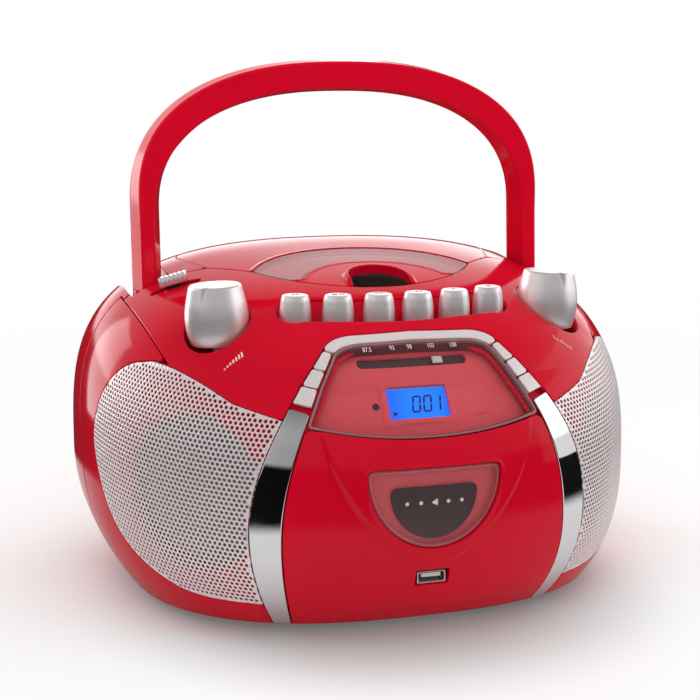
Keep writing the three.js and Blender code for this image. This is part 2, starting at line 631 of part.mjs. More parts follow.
// ---- cassette door and deck ----------------------------------------------------------------------------
function cassetteDoor() {
  const plate = layer(0, skin, baseHeight + 2 * gap).intersect(frontPrism(doorOutline(-20), -260, -20));
  const moon = frontPrism(halfMoon(windowHalfWidth + gap, windowTop + gap, windowDrop + 2 * gap), -260, -20);
  const usbCut = box(-usbWidth / 2 - 1.2, usbWidth / 2 + 1.2, -200, -60,
    usbCentreZ - usbHeight / 2 - 1.2, usbCentreZ + usbHeight / 2 + 1.2);
  const ears = [1, -1].map((side) => {
    const [a, b] = [15, 26.5].map((x) => x * side).sort((p, q) => p - q);
    const barrel = rod([a, doorHingeY, doorHingeZ], [b, doorHingeY, doorHingeZ], 2.6, 14);
    const tab = box(a, b, doorHingeY - 7, doorHingeY, doorHingeZ - 2, doorHingeZ + 2.2)
      .intersect(caseSolid(skin - 1, -20));
    const stub = rod([21 * side, doorHingeY, doorHingeZ], [31.5 * side, doorHingeY, doorHingeZ], 1.2, 10);
    return join(barrel, tab, stub);
  });
  return join(plate.subtract(moon).subtract(usbCut), ...ears);
}

function doorWindow() {
  const moon = halfMoon(windowHalfWidth, windowTop, windowDrop);
  return layer(0.5, 0.5 + windowSkin).intersect(frontPrism(moon, -260, -20));
}

// The holder on the door's inside: two channels and two floor ledges that carry the cassette.
const cassetteFront = deckPlateY - 20;
function cassetteCarrier() {
  const half = cassetteWidth / 2 + 0.6;
  const front = cassetteFront - 0.6;
  const back = cassetteFront + cassetteThickness + 0.6;
  const low = cassetteFloor - 0.6;
  const high = cassetteFloor + 57;
  const lip = front - 1.5;
  const side = join(
    box(half, half + 2, -130, back, low - 2, high),
    box(half - 7, half + 2, lip, front, low - 2, high),
    box(16, half + 2, lip, back, low - 2, low),
  );
  const bridge = box(-half, half, lip, front, high - 6, high);
  return join(bothSides(side), bridge).intersect(caseSolid(skin + gap, baseHeight));
}

const reelZ = cassetteFloor + 29.5;
function reelSpindle(side) {
  const x = side * hubSpacing / 2;
  const back = deckPlateY - deckPlateThickness;
  return turned([[0, 0], [3, 0], [3, 6.3], [7, 6.3], [7, 8], [4.2, 8.4], [4.2, 14.5], [2.2, 19], [0, 19]],
    [x, back + 6, reelZ], [0, -1, 0], 14);
}

const capstan = { x: -28, z: cassetteFloor + 58.5 };
const beltY = deckPlateY + 28;
function tapeDeckPlate() {
  const front = deckPlateY - deckPlateThickness;
  const plate = box(-56, 56, front, deckPlateY, doorHingeZ + 3.2, cassetteFloor + 69);
  const axleZ = capstan.z + 7.2;
  const axle = rod([capstan.x, deckPlateY - 1, axleZ], [capstan.x, front - 11, axleZ], 1.4, 10);
  const reelX = hubSpacing / 2;
  const holes = bothSides(rod([reelX, -120, reelZ], [reelX, -60, reelZ], 3 + gap, 14));
  const capstanHole = rod([capstan.x, -120, capstan.z], [capstan.x, -60, capstan.z], 1.2 + gap, 10);
  return join(plate, axle).subtract(holes).subtract(capstanHole);
}

function capstanFlywheel() {
  const wheel = rod([capstan.x, beltY - 3, capstan.z], [capstan.x, beltY + 3, capstan.z], 17, 24);
  const front = deckPlateY - deckPlateThickness - 12;
  const shaft = rod([capstan.x, front, capstan.z], [capstan.x, beltY, capstan.z], 1.2, 10);
  return join(wheel, shaft);
}

const motor = { x: 28, z: 42, radius: 13, pulley: 4 };
function deckMotor() {
  const back = beltY - 7;
  return rod([motor.x, deckPlateY + gap, motor.z], [motor.x, back, motor.z], motor.radius, 18)
    .subtract(rod([motor.x, back - 8, motor.z], [motor.x, back + 1, motor.z], 1.2 + gap, 8));
}

function motorPulley() {
  return join(
    rod([motor.x, beltY - 14, motor.z], [motor.x, beltY, motor.z], 1.2, 8),
    rod([motor.x, beltY - 3, motor.z], [motor.x, beltY + 3, motor.z], motor.pulley, 14),
  );
}

// A belt round two pulleys: the outer tangents of two circles, with the circles' outer arcs.
function driveBelt() {
  const loop = (extra) => {
    const big = 17 + gap + extra;
    const small = motor.pulley + gap + extra;
    const dx = motor.x - capstan.x;
    const dz = motor.z - capstan.z;
    const aim = THREE.MathUtils.radToDeg(Math.atan2(dz, dx));
    const spread = THREE.MathUtils.radToDeg(Math.acos((big - small) / Math.hypot(dx, dz)));
    return [
      ...arc([capstan.x, capstan.z], big, aim + spread, aim + 360 - spread, 16),
      ...arc([motor.x, motor.z], small, aim - spread, aim + spread, 8),
    ];
  };
  return frontPrism(loop(1.2), beltY - 1.5, beltY + 1.5).subtract(frontPrism(loop(0), beltY - 5, beltY + 5));
}

function pinchRoller() {
  const z = capstan.z + 7.2;
  const front = deckPlateY - deckPlateThickness;
  return turned([[1.4 + gap, 0], [5.6, 0], [5.6, 8.5], [1.4 + gap, 8.5], [1.4 + gap, 0]],
    [capstan.x, front - gap, z], [0, -1, 0], 16);
}

function tapeHead() {
  const front = deckPlateY - deckPlateThickness;
  return join(
    box(-8, 8, front - 4, front - gap, cassetteFloor + 58, cassetteFloor + 64.5),
    box(-6, 6, front - 13, front - 3, cassetteFloor + 59, cassetteFloor + 64),
  );
}

function usbSocket() {
  const face = frontY(0, usbCentreZ, skin - 0.8);
  const low = usbCentreZ - usbHeight / 2;
  const shell = box(-usbWidth / 2, usbWidth / 2, face, face + 14, low, low + usbHeight);
  const half = usbWidth / 2 - 0.8;
  const mouth = box(-half, half, face - 1, face + 11, low + 0.8, low + usbHeight - 0.8);
  const tongue = box(-5, 5, face + 1.2, face + 12, usbCentreZ - 0.2, usbCentreZ + 1.6);
  const board = box(-11, 11, face + 6, -93, low - 1.6, low + 0.2);
  return join(shell.subtract(mouth), tongue, board);
}

// ---- top controls --------------------------------------------------------------------------------------
function knob(side) {
  const { axis, foot: low } = knobAxis(side);
  const tall = knobHeight;
  return turned([[0, -6], [3.3, -6], [3.3, 0], [14, 0], [15.6, 5], [knobRadius, tall * 0.45],
    [15.2, tall * 0.72], [13.6, tall - 1], [12.6, tall], [0, tall]], low.toArray(), axis.toArray(), 20);
}

function key(x) {
  const tall = keyHeight;
  const profile = [[0, -keyPlunger], [2.5, -keyPlunger], [2.5, 0], [keyRadius - 0.3, 0], [keyRadius, 4],
    [keyRadius, tall - 6], [keyRadius - 1.4, tall], [0, tall]];
  return turned(profile, [x, keyY(x), keyFoot], [0, 0, 1], 12);
}

function functionSlider() {
  const stem = box(-4, 4, -1.7, 1.7, -skin - 6, 3);
  const cap = box(-7, 7, -4.2, 4.2, 0.9, 6.4);
  const plate = box(-4.6, 4.6, -3.6, 3.6, -skin - 5.6, -skin - 4);
  return sliderFrame(join(stem, cap, plate));
}

// ---- disc player ---------------------------------------------------------------------------------------
const lidHinge = { y: lidRearY + 2.6, z: topZ(0, lidRearY) - 1.6, radius: 2.4, places: [[30, 44]] };
const notch = { y: -37, radius: 16 };

function lidHingeSpace() {
  const [a, b] = lidHinge.places[0];
  const space = (x0, x1) => join(
    rod([x0 - 0.6, lidHinge.y, lidHinge.z], [x1 + 0.6, lidHinge.y, lidHinge.z], lidHinge.radius + 0.6, 14),
    box(x0 - 0.6, x1 + 0.6, lidRearY - 2, lidHinge.y, lidHinge.z - lidHinge.radius - 0.6, lidHinge.z + 12),
    box(x0 - 0.6, x1 + 0.6, lidHinge.y - 1, lidHinge.y + lidHinge.radius + 0.6, lidHinge.z, lidHinge.z + 12),
  );
  const pin = rod([-50, lidHinge.y, lidHinge.z], [50, lidHinge.y, lidHinge.z], 1.5, 12);
  return join(space(a, b), space(-b, -a), pin);
}

// The smoked window is a broad arch that runs out to the lid's front edge at both ends.
const windowRearRadius = 69.6;
const windowRearY = 28;
const windowFrontRadius = 44;
const windowFrontY = -5;
function lidWindowZone(extra) {
  const rear = windowRearRadius + extra;
  const front = windowFrontRadius - extra;
  const rearArc = arc([0, windowRearY - windowRearRadius], rear, 10, 170, 16);
  const frontArc = arc([0, windowFrontY - windowFrontRadius], front, 165, 15, 12);
  return topPrism([...rearArc, ...frontArc], 120, 260);
}

const lidSeat = 1.8;                // the lid's ledge under its window
function cdLid() {
  const zone = topPrism(lidOutline(), 120, 260);
  const plate = layer(0, lidThickness).intersect(zone).subtract(lidWindowZone(gap));
  const seat = layer(lidThickness - 0.1, lidThickness + lidSeat).intersect(zone).intersect(lidWindowZone(3))
    .subtract(lidWindowZone(-2.4).intersect(topPrism(grown(lidOutline(), -3), 120, 260)));
  const scoop = rod([0, notch.y, 120], [0, notch.y, 220], notch.radius, 20)
    .add(box(-notch.radius, notch.radius, -100, notch.y, 120, 220));
  const lip = rod([0, notch.y, 120], [0, notch.y, 220], notch.radius + 2.8, 20)
    .intersect(caseSolid(-3, 100).subtract(caseSolid(lidThickness, 90))).intersect(zone);
  const [a, b] = lidHinge.places[0];
  const knuckle = (x0, x1) => join(
    rod([x0, lidHinge.y, lidHinge.z], [x1, lidHinge.y, lidHinge.z], lidHinge.radius, 12),
    box(x0, x1, lidRearY - 3, lidHinge.y, lidHinge.z - 0.8, lidHinge.z + 1.2),
  ).subtract(rod([x0 - 1, lidHinge.y, lidHinge.z], [x1 + 1, lidHinge.y, lidHinge.z], 1.5, 10));
  return join(plate, seat, lip).subtract(scoop).add(join(knuckle(a, b), knuckle(-b, -a)));
}

function cdLidWindow() {
  const zone = lidWindowZone(0).intersect(topPrism(lidOutline(), 120, 260));
  return layer(0.3, 0.3 + windowSkin).intersect(zone);
}

function cdDeck() {
  const zone = topPrism(grown(lidOutline(), -0.2), 120, 260);
  const top = lidThickness + lidSeat + gap;
  const roof = layer(top, top + 2.2).intersect(zone);
  const cup = rod([0, discCentreY, wellFloor - 2], [0, discCentreY, 200], discRadius + 4, 28)
    .intersect(caseSolid(top, 90));
  const well = rod([0, discCentreY, wellFloor], [0, discCentreY, 220], discRadius + 2, 28);
  const hub = rod([0, discCentreY, 120], [0, discCentreY, 160], 4 + gap, 16);
  const slot = box(8, 46, discCentreY - 8, discCentreY + 8, 120, 160);
  const tail = box(-56, 56, lidRearY - 6, 140, 120, 260);
  const solid = join(roof.subtract(well), cup.intersect(zone).subtract(well));
  return solid.subtract(hub).subtract(slot).subtract(tail);
}

function cdHub() {
  const profile = [
    [0, 0], [11, 0], [11, 5], [4, 5], [4, 15], [13, 15], [13, 16.4], [7.2, 18], [5, 20], [0, 20],
  ];
  return turned(profile, [0, discCentreY, wellFloor - 12.8], [0, 0, 1], 16);
}

function laserSled() {
  const base = box(22, 44, discCentreY - 7.7, discCentreY + 7.7, wellFloor - 9, wellFloor - 1.2);
  const lens = rod([30, discCentreY, wellFloor - 2], [30, discCentreY, wellFloor + 0.8], 3.2, 12);
  return join(base, lens);
}

const boardZ = keyTrayFloor - 20.4;
function mainBoard() {
  const board = box(-98, 98, knobDepth - 14.5, knobDepth + 17.5, boardZ, boardZ + 1.6);
  const pots = [1, -1].map((side) => {
    const { axis, foot: low } = knobAxis(side);
    const top = low.clone().addScaledVector(axis, -6.9);
    return rod([top.x - side * 0.7, knobDepth, boardZ + 1], top.toArray(), 8, 14);
  });
  const chips = [
    box(-20, 14, knobDepth - 8.5, knobDepth + 9.5, boardZ + 1, boardZ + 5),
    box(30, 48, knobDepth - 8.5, knobDepth + 7.5, boardZ + 1, boardZ + 6.5),
  ];
  return join(board, ...pots, ...chips).intersect(caseSolid(skin + 2 * gap, baseHeight));
}

function transformer() {
  const z = baseHeight + wall + gap;
  return join(box(42, 88, 34, 74, z, z + 34), box(46, 84, 26, 82, z + 4, z + 30));
}

// ---- loudspeakers --------------------------------------------------------------------------------------
const speakerBack = speakerOut.clone().negate().toArray();
function speakerFrame(side) {
  const r = speakerRadius;
  const profile = [
    [r - 7, 0], [r, 0], [r, 2.4], [r - 6, 2.4], [24, 19], [24, 24], [20, 24], [20, 36], [10, 36],
    [10, 21], [21, 17.5], [r - 8, 2.4], [r - 7, 0],
  ];
  const solid = turned(profile, speakerAt(speakerSeat + gap), speakerBack, 20);
  return side > 0 ? solid : mirrored(solid);
}

function speakerCone(side) {
  const r = speakerRadius - 7.5;
  const profile = [
    [0, 8.6], [9, 10.4], [r - 6, 1.2], [r, 0.2], [r - 0.2, 1.2], [r - 5.6, 2.8], [11, 14.4],
    [8, 18.6], [8, 26], [0, 26],
  ];
  const solid = turned(profile, speakerAt(speakerSeat + gap), speakerBack, 20);
  return side > 0 ? solid : mirrored(solid);
}

// ---- handle --------------------------------------------------------------------------------------------
// The handle's centre runs up one leg, over a squarish arch and down the other. Its front face is
// narrower than its back, most of all on the legs.
const archPower = 2.37;
const archFoot = 200;               // height where the legs start to curve in
function handleStation(t) {
  const inner = handleTop - handleGrip - archFoot;
  const outerRise = handleTop - 203;
  const low = handlePivotZ;
  const leg = 0.18;
  const at = (reach, rise, base) => {
    if (t < leg || t > 1 - leg) {
      const part = t < leg ? t / leg : (1 - t) / leg;
      return [reach, low + (base - low) * part];
    }
    const angle = Math.PI * (t - leg) / (1 - 2 * leg);
    const swing = Math.abs(Math.cos(angle)) ** (2 / archPower);
    return [reach * swing, base + rise * Math.sin(angle) ** (2 / archPower)];
  };
  const side = t < 0.5 ? 1 : -1;
  const [ix, iz] = at(handleInnerReach - 2.4, inner, archFoot);
  const [ox, oz] = at(handleOuterReach + 2.4, outerRise, 203);
  const legness = THREE.MathUtils.smoothstep(250 - (iz + oz) / 2, 0, 60);
  return { inner: [side * ix, iz], outer: [side * ox, oz], legness };
}

function handleArch() {
  const lean = Math.tan(THREE.MathUtils.degToRad(handleLean));
  const stationCount = 34;
  const cornerCount = 8;
  const surface = new ParametricGeometry((u, v, target) => {
    const t = THREE.MathUtils.clamp((v * (stationCount + 2) - 1) / stationCount, 0, 1);
    const { inner, outer: out, legness } = handleStation(t);
    const bevel = 0.1 + 0.22 * legness;
    const ring = [
      [bevel, -0.5], [1 - bevel * 0.7, -0.5], [1, 0.25], [1, 0.38],
      [0.92, 0.5], [0.08, 0.5], [0, 0.38], [0, 0.25],
    ];
    const closed = v === 0 || v === 1;
    const [across, deep] = closed ? [0.5, 0] : ring[Math.round(u * cornerCount) % cornerCount];
    const x = inner[0] + (out[0] - inner[0]) * across;
    const z = inner[1] + (out[1] - inner[1]) * across;
    const y = handlePivotY + lean * (z - handlePivotZ) + deep * handleDepth;
    target.set(x, y, z);
  }, cornerCount, stationCount + 2);
  const hubs = [1, -1].map((side) => rod(...handleSpan(side, 2.3, 2.7), handleDepth / 2, 20));
  const holes = [1, -1].map((side) => rod(...handleSpan(side, 5.3, 5.7), handlePinRadius + gap, 16));
  return join(solidOf(surface), ...hubs).subtract(join(...holes));
}

function handlePin(side) {
  return rod(...handleSpan(side, 5.9, 6.5), handlePinRadius, 16);
}

// ---- back ----------------------------------------------------------------------------------------------
const antennaY = halfDepth - 14.05;
const antennaZ = 152;
const antennaPivotX = 70;

function batteryDoor() {
  return layer(0, skin).intersect(frontPrism(batteryOutline(), 90, 300));
}

function mainsInlet() {
  const body = box(58, 86, 88, 106, 27, 51);
  const socket = join(rod([68, 96, 39], [68, 110, 39], 4.2, 14), rod([76, 96, 39], [76, 110, 39], 4.2, 14),
    box(68, 76, 96, 110, 34.8, 43.2));
  const pins = [68.3, 75.7].map((x) => rod([x, 95, 39], [x, 104, 39], 1.2, 8));
  return join(body.subtract(socket), ...pins);
}

function antennaBase() {
  return join(
    rod([antennaPivotX, antennaY - 4.2, antennaZ], [antennaPivotX, antennaY + 3.4, antennaZ], 3.8, 16),
    rod([antennaPivotX, antennaY, antennaZ], [antennaPivotX - 9, antennaY, antennaZ], 3.2, 14),
  );
}

function antennaMast() {
  const x = antennaPivotX - 9 - gap;
  return rod([x, antennaY, antennaZ], [x - 116, antennaY, antennaZ], 2.9, 14)
    .subtract(rod([x - 4, antennaY, antennaZ], [x - 120, antennaY, antennaZ], 2.1, 12));
}

function antennaTip() {
  const x = antennaPivotX - 9 - gap;
  return join(
    rod([x - 6, antennaY, antennaZ], [x - 119, antennaY, antennaZ], 1.8, 12),
    rod([x - 116.5, antennaY, antennaZ], [x - 122, antennaY, antennaZ], 3, 12),
  );
}

// ---- assembly ------------------------------------------------------------------------------------------
add('front_cabinet', 'red', frontCabinet());
add('rear_cabinet', 'red', rearCabinet());
add('control_panel', 'red', controlPanel());
const grille = rightGrille();
add('right_grille', 'mesh', grille);
add('left_grille', 'mesh', mirrored(grille));
const strip = trimStrip();
add('right_trim_strip', 'chrome', strip);
add('left_trim_strip', 'chrome', mirrored(strip));
add('trim_arch', 'silver', trimArch());
for (let i = 0; i < buttonCount; i += 1) {
  const button = discButton(i);
  add(`right_disc_button_${i + 1}`, 'silver', button);
  add(`left_disc_button_${i + 1}`, 'silver', mirrored(button));
}
add('display_window', 'smoke', displayWindow());
add('display_bezel', 'red', displayBezel());
add('lcd_module', 'blue', lcdModule());
add('dial_pointer', 'white', dialPointer());
add('cassette_door', 'red', cassetteDoor());
add('cassette_door_window', 'smoke', doorWindow());
add('cassette_carrier', 'black', cassetteCarrier());
add('usb_socket', 'steel', usbSocket());
const keyNames = ['pause_key', 'stop_eject_key', 'fast_forward_key', 'rewind_key', 'play_key', 'record_key'];
keyNames.forEach((name, i) => add(name, 'silver', key(keyPlaces[i])));
add('volume_knob', 'silver', knob(-1));
add('tuning_knob', 'silver', knob(1));
add('function_slider', 'silver', functionSlider());
add('carry_handle', 'red', handleArch());
add('right_handle_pin', 'steel', handlePin(1));
add('left_handle_pin', 'steel', handlePin(-1));
add('disc_lid', 'red', cdLid());
add('disc_lid_window', 'smoke', cdLidWindow());
add('lid_hinge_pin', 'steel', rod([-49, lidHinge.y, lidHinge.z], [49, lidHinge.y, lidHinge.z], 1.2, 12));
add('disc_deck', 'black', cdDeck());
add('disc_hub', 'steel', cdHub());
add('laser_sled', 'black', laserSled());
add('main_board', 'board', mainBoard());
add('transformer', 'copper', transformer());
add('right_speaker', 'steel', speakerFrame(1));
add('left_speaker', 'steel', speakerFrame(-1));
add('right_speaker_cone', 'paper', speakerCone(1));
add('left_speaker_cone', 'paper', speakerCone(-1));
add('tape_deck_plate', 'steel', tapeDeckPlate());
add('right_reel_spindle', 'black', reelSpindle(1));
add('left_reel_spindle', 'black', reelSpindle(-1));
add('capstan_flywheel', 'steel', capstanFlywheel());
add('pinch_roller', 'rubber', pinchRoller());
add('tape_head', 'steel', tapeHead());
add('deck_motor', 'steel', deckMotor());
add('motor_pulley', 'steel', motorPulley());
add('drive_belt', 'rubber', driveBelt());
add('battery_door', 'red', batteryDoor());
add('mains_inlet', 'black', mainsInlet());
add('antenna_base', 'black', antennaBase());
add('antenna_mast', 'chrome', antennaMast());
add('antenna_tip', 'chrome', antennaTip());

export default player;
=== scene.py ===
import math

import bpy
import numpy as np
from mathutils import Matrix


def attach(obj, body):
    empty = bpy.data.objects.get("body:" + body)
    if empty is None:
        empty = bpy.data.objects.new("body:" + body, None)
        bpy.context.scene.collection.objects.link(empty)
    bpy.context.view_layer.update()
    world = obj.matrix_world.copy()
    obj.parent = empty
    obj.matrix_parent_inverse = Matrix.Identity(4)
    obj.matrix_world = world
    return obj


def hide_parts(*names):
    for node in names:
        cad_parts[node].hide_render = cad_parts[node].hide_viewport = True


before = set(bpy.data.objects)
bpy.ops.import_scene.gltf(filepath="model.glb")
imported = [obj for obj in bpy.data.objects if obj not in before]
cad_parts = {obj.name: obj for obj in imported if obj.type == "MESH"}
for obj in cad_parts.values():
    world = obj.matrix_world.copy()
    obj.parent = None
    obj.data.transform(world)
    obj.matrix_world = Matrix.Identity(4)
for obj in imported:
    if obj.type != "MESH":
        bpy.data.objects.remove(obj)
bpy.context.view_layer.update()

# ---- Studio: camera, floor and light ----
# A portable stereo stands on a pale seamless floor, seen from its front left and from slightly above.
# Two large soft boxes light it from above and from the front, a third stands behind it at its left, and a pale
# card stands at its right.
scene = bpy.context.scene
scene.view_settings.view_transform = "Standard"

viewer = bpy.data.cameras.new("viewer")
viewer.sensor_width = 36
viewer.lens = 81.144
viewer.clip_start = 0.05
viewer_place = bpy.data.objects.new("viewer", viewer)
viewer_place.matrix_world = Matrix((
    (0.955190, 0.054000, -0.291020, -0.258730),
    (-0.295990, 0.174250, -0.939160, -0.821250),
    (0.0, 0.983220, 0.182430, 0.282810),
    (0.0, 0.0, 0.0, 1.0)))
scene.collection.objects.link(viewer_place)
scene.camera = viewer_place


class Flow:
    """One output of a shader node. Arithmetic on it adds Math nodes, and node() adds any other node."""

    def __init__(self, tree, socket):
        self.tree, self.socket = tree, socket

    def node(self, kind, settings=None, inputs=None, output=0):
        """One of the outputs of a new node, made with the given settings and with a value or a flow in each
        input."""
        made = self.tree.nodes.new(kind)
        for key, value in (settings or {}).items():
            setattr(made, key, value)
        for key, value in (inputs or {}).items():
            if isinstance(value, Flow):
                self.tree.links.new(value.socket, made.inputs[key])
            else:
                made.inputs[key].default_value = value
        return Flow(self.tree, made.outputs[output])

    def maths(self, operation, *values):
        """The named operation on this value and the others after it."""
        return self.node("ShaderNodeMath", {"operation": operation}, dict(enumerate((self,) + values)))

    def flipped(self, operation, value):
        """The named operation on another value first and this one second."""
        return self.node("ShaderNodeMath", {"operation": operation}, {0: value, 1: self})

    def __add__(self, other): return self.maths("ADD", other)
    def __radd__(self, other): return self.flipped("ADD", other)
    def __sub__(self, other): return self.maths("SUBTRACT", other)
    def __rsub__(self, other): return self.flipped("SUBTRACT", other)
    def __mul__(self, other): return self.maths("MULTIPLY", other)
    def __rmul__(self, other): return self.flipped("MULTIPLY", other)

    def between(self, low, high, from_value=0.0, to_value=1.0):
        """A smooth step of this value from low to high, turned into from_value to to_value."""
        return self.node("ShaderNodeMapRange", {"interpolation_type": "SMOOTHSTEP"},
                         {"Value": self, "From Min": low, "From Max": high, "To Min": from_value,
                          "To Max": to_value})

    def blend(self, first, second):
        """The colour first where this value is 0 and second where it is 1."""
        mix = self.tree.nodes.new("ShaderNodeMix")
        mix.data_type = "RGBA"
        self.tree.links.new(self.socket, mix.inputs[0])
        for place, colour in ((6, first), (7, second)):
            if isinstance(colour, Flow):
                self.tree.links.new(colour.socket, mix.inputs[place])
            else:
                mix.inputs[place].default_value = (*colour, 1)
        return Flow(self.tree, mix.outputs[2])

    def noise(self, scale, detail=2.0, roughness=0.5):
        """Cloudy noise over this vector, from 0 to 1."""
        return self.node("ShaderNodeTexNoise", {}, {"Vector": self, "Scale": scale, "Detail": detail,
                                                    "Roughness": roughness})

    def axis(self, place):
        """One of the three parts of this vector."""
        return self.node("ShaderNodeSeparateXYZ", {}, {0: self}, output=place)


def light(name, centre, aim, width, height, radiance):
    """A flat soft box: a rectangle that faces from its centre towards aim and shines evenly."""
    box = bpy.data.lights.new(name, "AREA")
    box.shape = "RECTANGLE"
    box.size, box.size_y = width, height
    box.energy = radiance * math.pi * width * height
    place = bpy.data.objects.new(name, box)
    back = np.subtract(centre, aim) / np.linalg.norm(np.subtract(centre, aim))
    side = np.cross((0, 1, 0) if abs(back[2]) > 0.9 else (0, 0, 1), back)
    side /= np.linalg.norm(side)
    up = np.cross(back, side)
    place.matrix_world = Matrix([[*row, c] for row, c in zip(np.stack([side, up, back], 1), centre)]
                                + [[0, 0, 0, 1]])
    scene.collection.objects.link(place)
    return place


overhead = light("overhead_box", (0.05, 0.0, 1.45), (0, 0, 0.10), 1.8, 1.4, 1.4)
front = light("front_box", (-0.35, -1.6, 0.75), (0, 0, 0.10), 1.0, 1.0, 1.3)
for unseen in (overhead, front):
    unseen.visible_glossy = False
light("left_rear_box", (-0.85, 1.05, 0.32), (0, 0, 0.10), 0.45, 0.9, 2.7)
light("right_card", (1.30, -0.05, 0.42), (0, 0, 0.15), 1.7, 0.95, 0.75)

# The room is an even pale grey for the camera. In reflections it is a band of light that starts just over the floor
# and is brighter behind the stereo, and it dims overhead.
world = bpy.data.worlds.new("studio")
world.use_nodes = True
scene.world = world
shade = world.node_tree
paths = shade.nodes.new("ShaderNodeLightPath")
seen = Flow(shade, paths.outputs["Is Camera Ray"])
seen = seen.maths("MAXIMUM", Flow(shade, paths.outputs["Is Transmission Ray"]))
mirrored_ray = Flow(shade, paths.outputs["Is Glossy Ray"])
heading = Flow(shade, shade.nodes.new("ShaderNodeTexCoord").outputs["Generated"])
rise, behind = heading.axis(2), heading.axis(1).between(0.4, 0.85)
aside = heading.axis(0).maths("ABSOLUTE").between(0.5, 0.95, 1.0, 1.15)
ahead = heading.axis(1).between(-0.95, -0.35, 0.5, 1.0) * aside
round_light = (rise.between(0.06, 0.13, 0.006, 0.62) * (1.0 + behind * rise.between(0.12, 0.4, 3.0, 0.6))
               - rise.between(0.45, 0.9, 0.0, 0.45)) * ahead
strength = seen.between(0, 1, 0.55, 1.0) * (1.0 - mirrored_ray) + mirrored_ray * round_light
shade.links.new(strength.socket, shade.nodes["Background"].inputs["Strength"])
shade.nodes["Background"].inputs["Color"].default_value = (1, 1, 1, 1)


def stage_sheet(name, reach, tint, camera_lift):
    """A flat matt floor, square and reaching as far each way, with a faint mottle in its colour. For the camera it
    glows a little, carries a painted shadow under the front of the case, darker and cooler than the rest, and fades
    into the background far from it."""
    corners = [(-reach, -reach, 0), (reach, -reach, 0), (reach, reach, 0), (-reach, reach, 0)]
    mesh = bpy.data.meshes.new(name)
    mesh.from_pydata(corners, [], [(0, 1, 2, 3)])
    sheet = bpy.data.objects.new(name, mesh)
    scene.collection.objects.link(sheet)
    paper = bpy.data.materials.new(name)
    paper.use_nodes = True
    tree = paper.node_tree
    shader = tree.nodes["Principled BSDF"]
    shader.inputs["Roughness"].default_value = 0.9
    shader.inputs["Specular IOR Level"].default_value = 0.1
    place = Flow(tree, tree.nodes.new("ShaderNodeTexCoord").outputs["Object"])
    colour = place.noise(3.0).blend([t * 0.985 for t in tint], tint)
    tree.links.new(colour.socket, shader.inputs["Base Color"])
    away = place.node("ShaderNodeVectorMath", {"operation": "LENGTH"}, {0: place}, output=1)
    ray = Flow(tree, tree.nodes.new("ShaderNodeLightPath").outputs["Is Camera Ray"])
    shader.inputs["Emission Strength"].default_value = camera_lift
    tree.links.new(ray.blend((0, 0, 0), (1, 1, 1)).socket, shader.inputs["Emission Color"])
    # Painted shadow, for the camera only: the floor's colour darkens round a point just ahead of the case's middle,
    # more in red than in green and blue, so that it also hides the red light the case throws on the floor.
    below = place.node("ShaderNodeVectorMath", {"operation": "DISTANCE"}, {0: place, 1: (0.0, -0.05, 0.0)},
                       output=1)
    under = (1.0 - below.between(0.06, 0.17)) * ray
    tree.links.new((colour * (1.0 - under.blend((0, 0, 0), (0.62, 0.52, 0.52)))).socket,
                   shader.inputs["Base Color"])
    out = tree.nodes["Material Output"]
    faded = tree.nodes.new("ShaderNodeMixShader")
    shine = Flow(tree, tree.nodes.new("ShaderNodeLightPath").outputs["Is Glossy Ray"])
    gone = away.between(0.42, 0.95) * (1.0 - shine) + (away.between(0.31, 0.35) * 0.8 + 0.2) * shine
    tree.links.new(gone.socket, faded.inputs[0])
    tree.links.new(shader.outputs[0], faded.inputs[1])
    tree.links.new(tree.nodes.new("ShaderNodeBsdfTransparent").outputs[0], faded.inputs[2])
    tree.links.new(faded.outputs[0], out.inputs["Surface"])
    mesh.materials.append(paper)


stage_sheet("floor", 6, (0.86, 0.86, 0.86), 0.12)


# ---- Front cabinet ----
# The front half of the case is one injection moulding in bright red polystyrene, polished in the mould.
# It stops at a seam that leans back over the sides, and it holds both grilles, the trim and the tape door.
# Its edges are rolled in slightly where they meet the neighbouring pieces.
MM, SIDES = 0.001, ((1, "right"), (-1, "left"))
HALF_WIDTH, FRONT_REACH, REAR_REACH, RING_HEIGHT = 152.8, 151.0, 96.5, 69.5
FRONT_BULGE, CROWN, BELLY, TOP_SLOPE = 7.6, 107.5, 114.0, 0.098
PLAN_POWER, CROWN_POWER, BELLY_POWER = 2.33, 3.26, 2.03
MIDDLE_Y = (FRONT_REACH + FRONT_BULGE - REAR_REACH) / 2
BASE_HEIGHT, GAP, SKIN, WALL = 4.5, 0.3, 3.0, 5.0


def case_ring(h):
    """The case's powers and front reach at height h over its widest ring: the plan grows squarer below it, and the
    front swells by a cubic hump around 6.8 mm above it."""
    plan_power = PLAN_POWER + np.where(h < 0, 0.4 * (h / 60) ** 2, 0)
    swell = FRONT_BULGE * np.maximum(0, 1 - np.abs((h - 6.8) / 61.7) ** 3)
    return plan_power, FRONT_REACH + swell


def case_chart(turn, lift):
    """A point of the case's outer surface: turn goes round it from straight ahead, lift up from its widest ring.
    Height and ring are the sine and cosine of lift over the length that puts them on a superellipse, and the
    ring is carried round a superellipse plan in the same way. The whole leans up to the rear by the top slope."""
    power = np.where(lift > 0, CROWN_POWER, BELLY_POWER)
    depth = np.where(lift > 0, CROWN, BELLY)
    c, s = np.abs(np.cos(lift)), np.abs(np.sin(lift))
    length = (c ** power + s ** power) ** (1 / power)
    h = depth * np.sin(lift) / length
    ring = c / length
    plan_power, front = case_ring(h)
    reach = np.where(np.cos(turn) > 0, front, REAR_REACH)
    plan = np.abs(np.sin(turn) / HALF_WIDTH) ** plan_power + np.abs(np.cos(turn) / reach) ** plan_power
    radius = plan ** (-1 / plan_power)
    back = -ring * radius * np.cos(turn)
    return np.stack([ring * radius * np.sin(turn), back + MIDDLE_Y, RING_HEIGHT + h + TOP_SLOPE * back], -1)


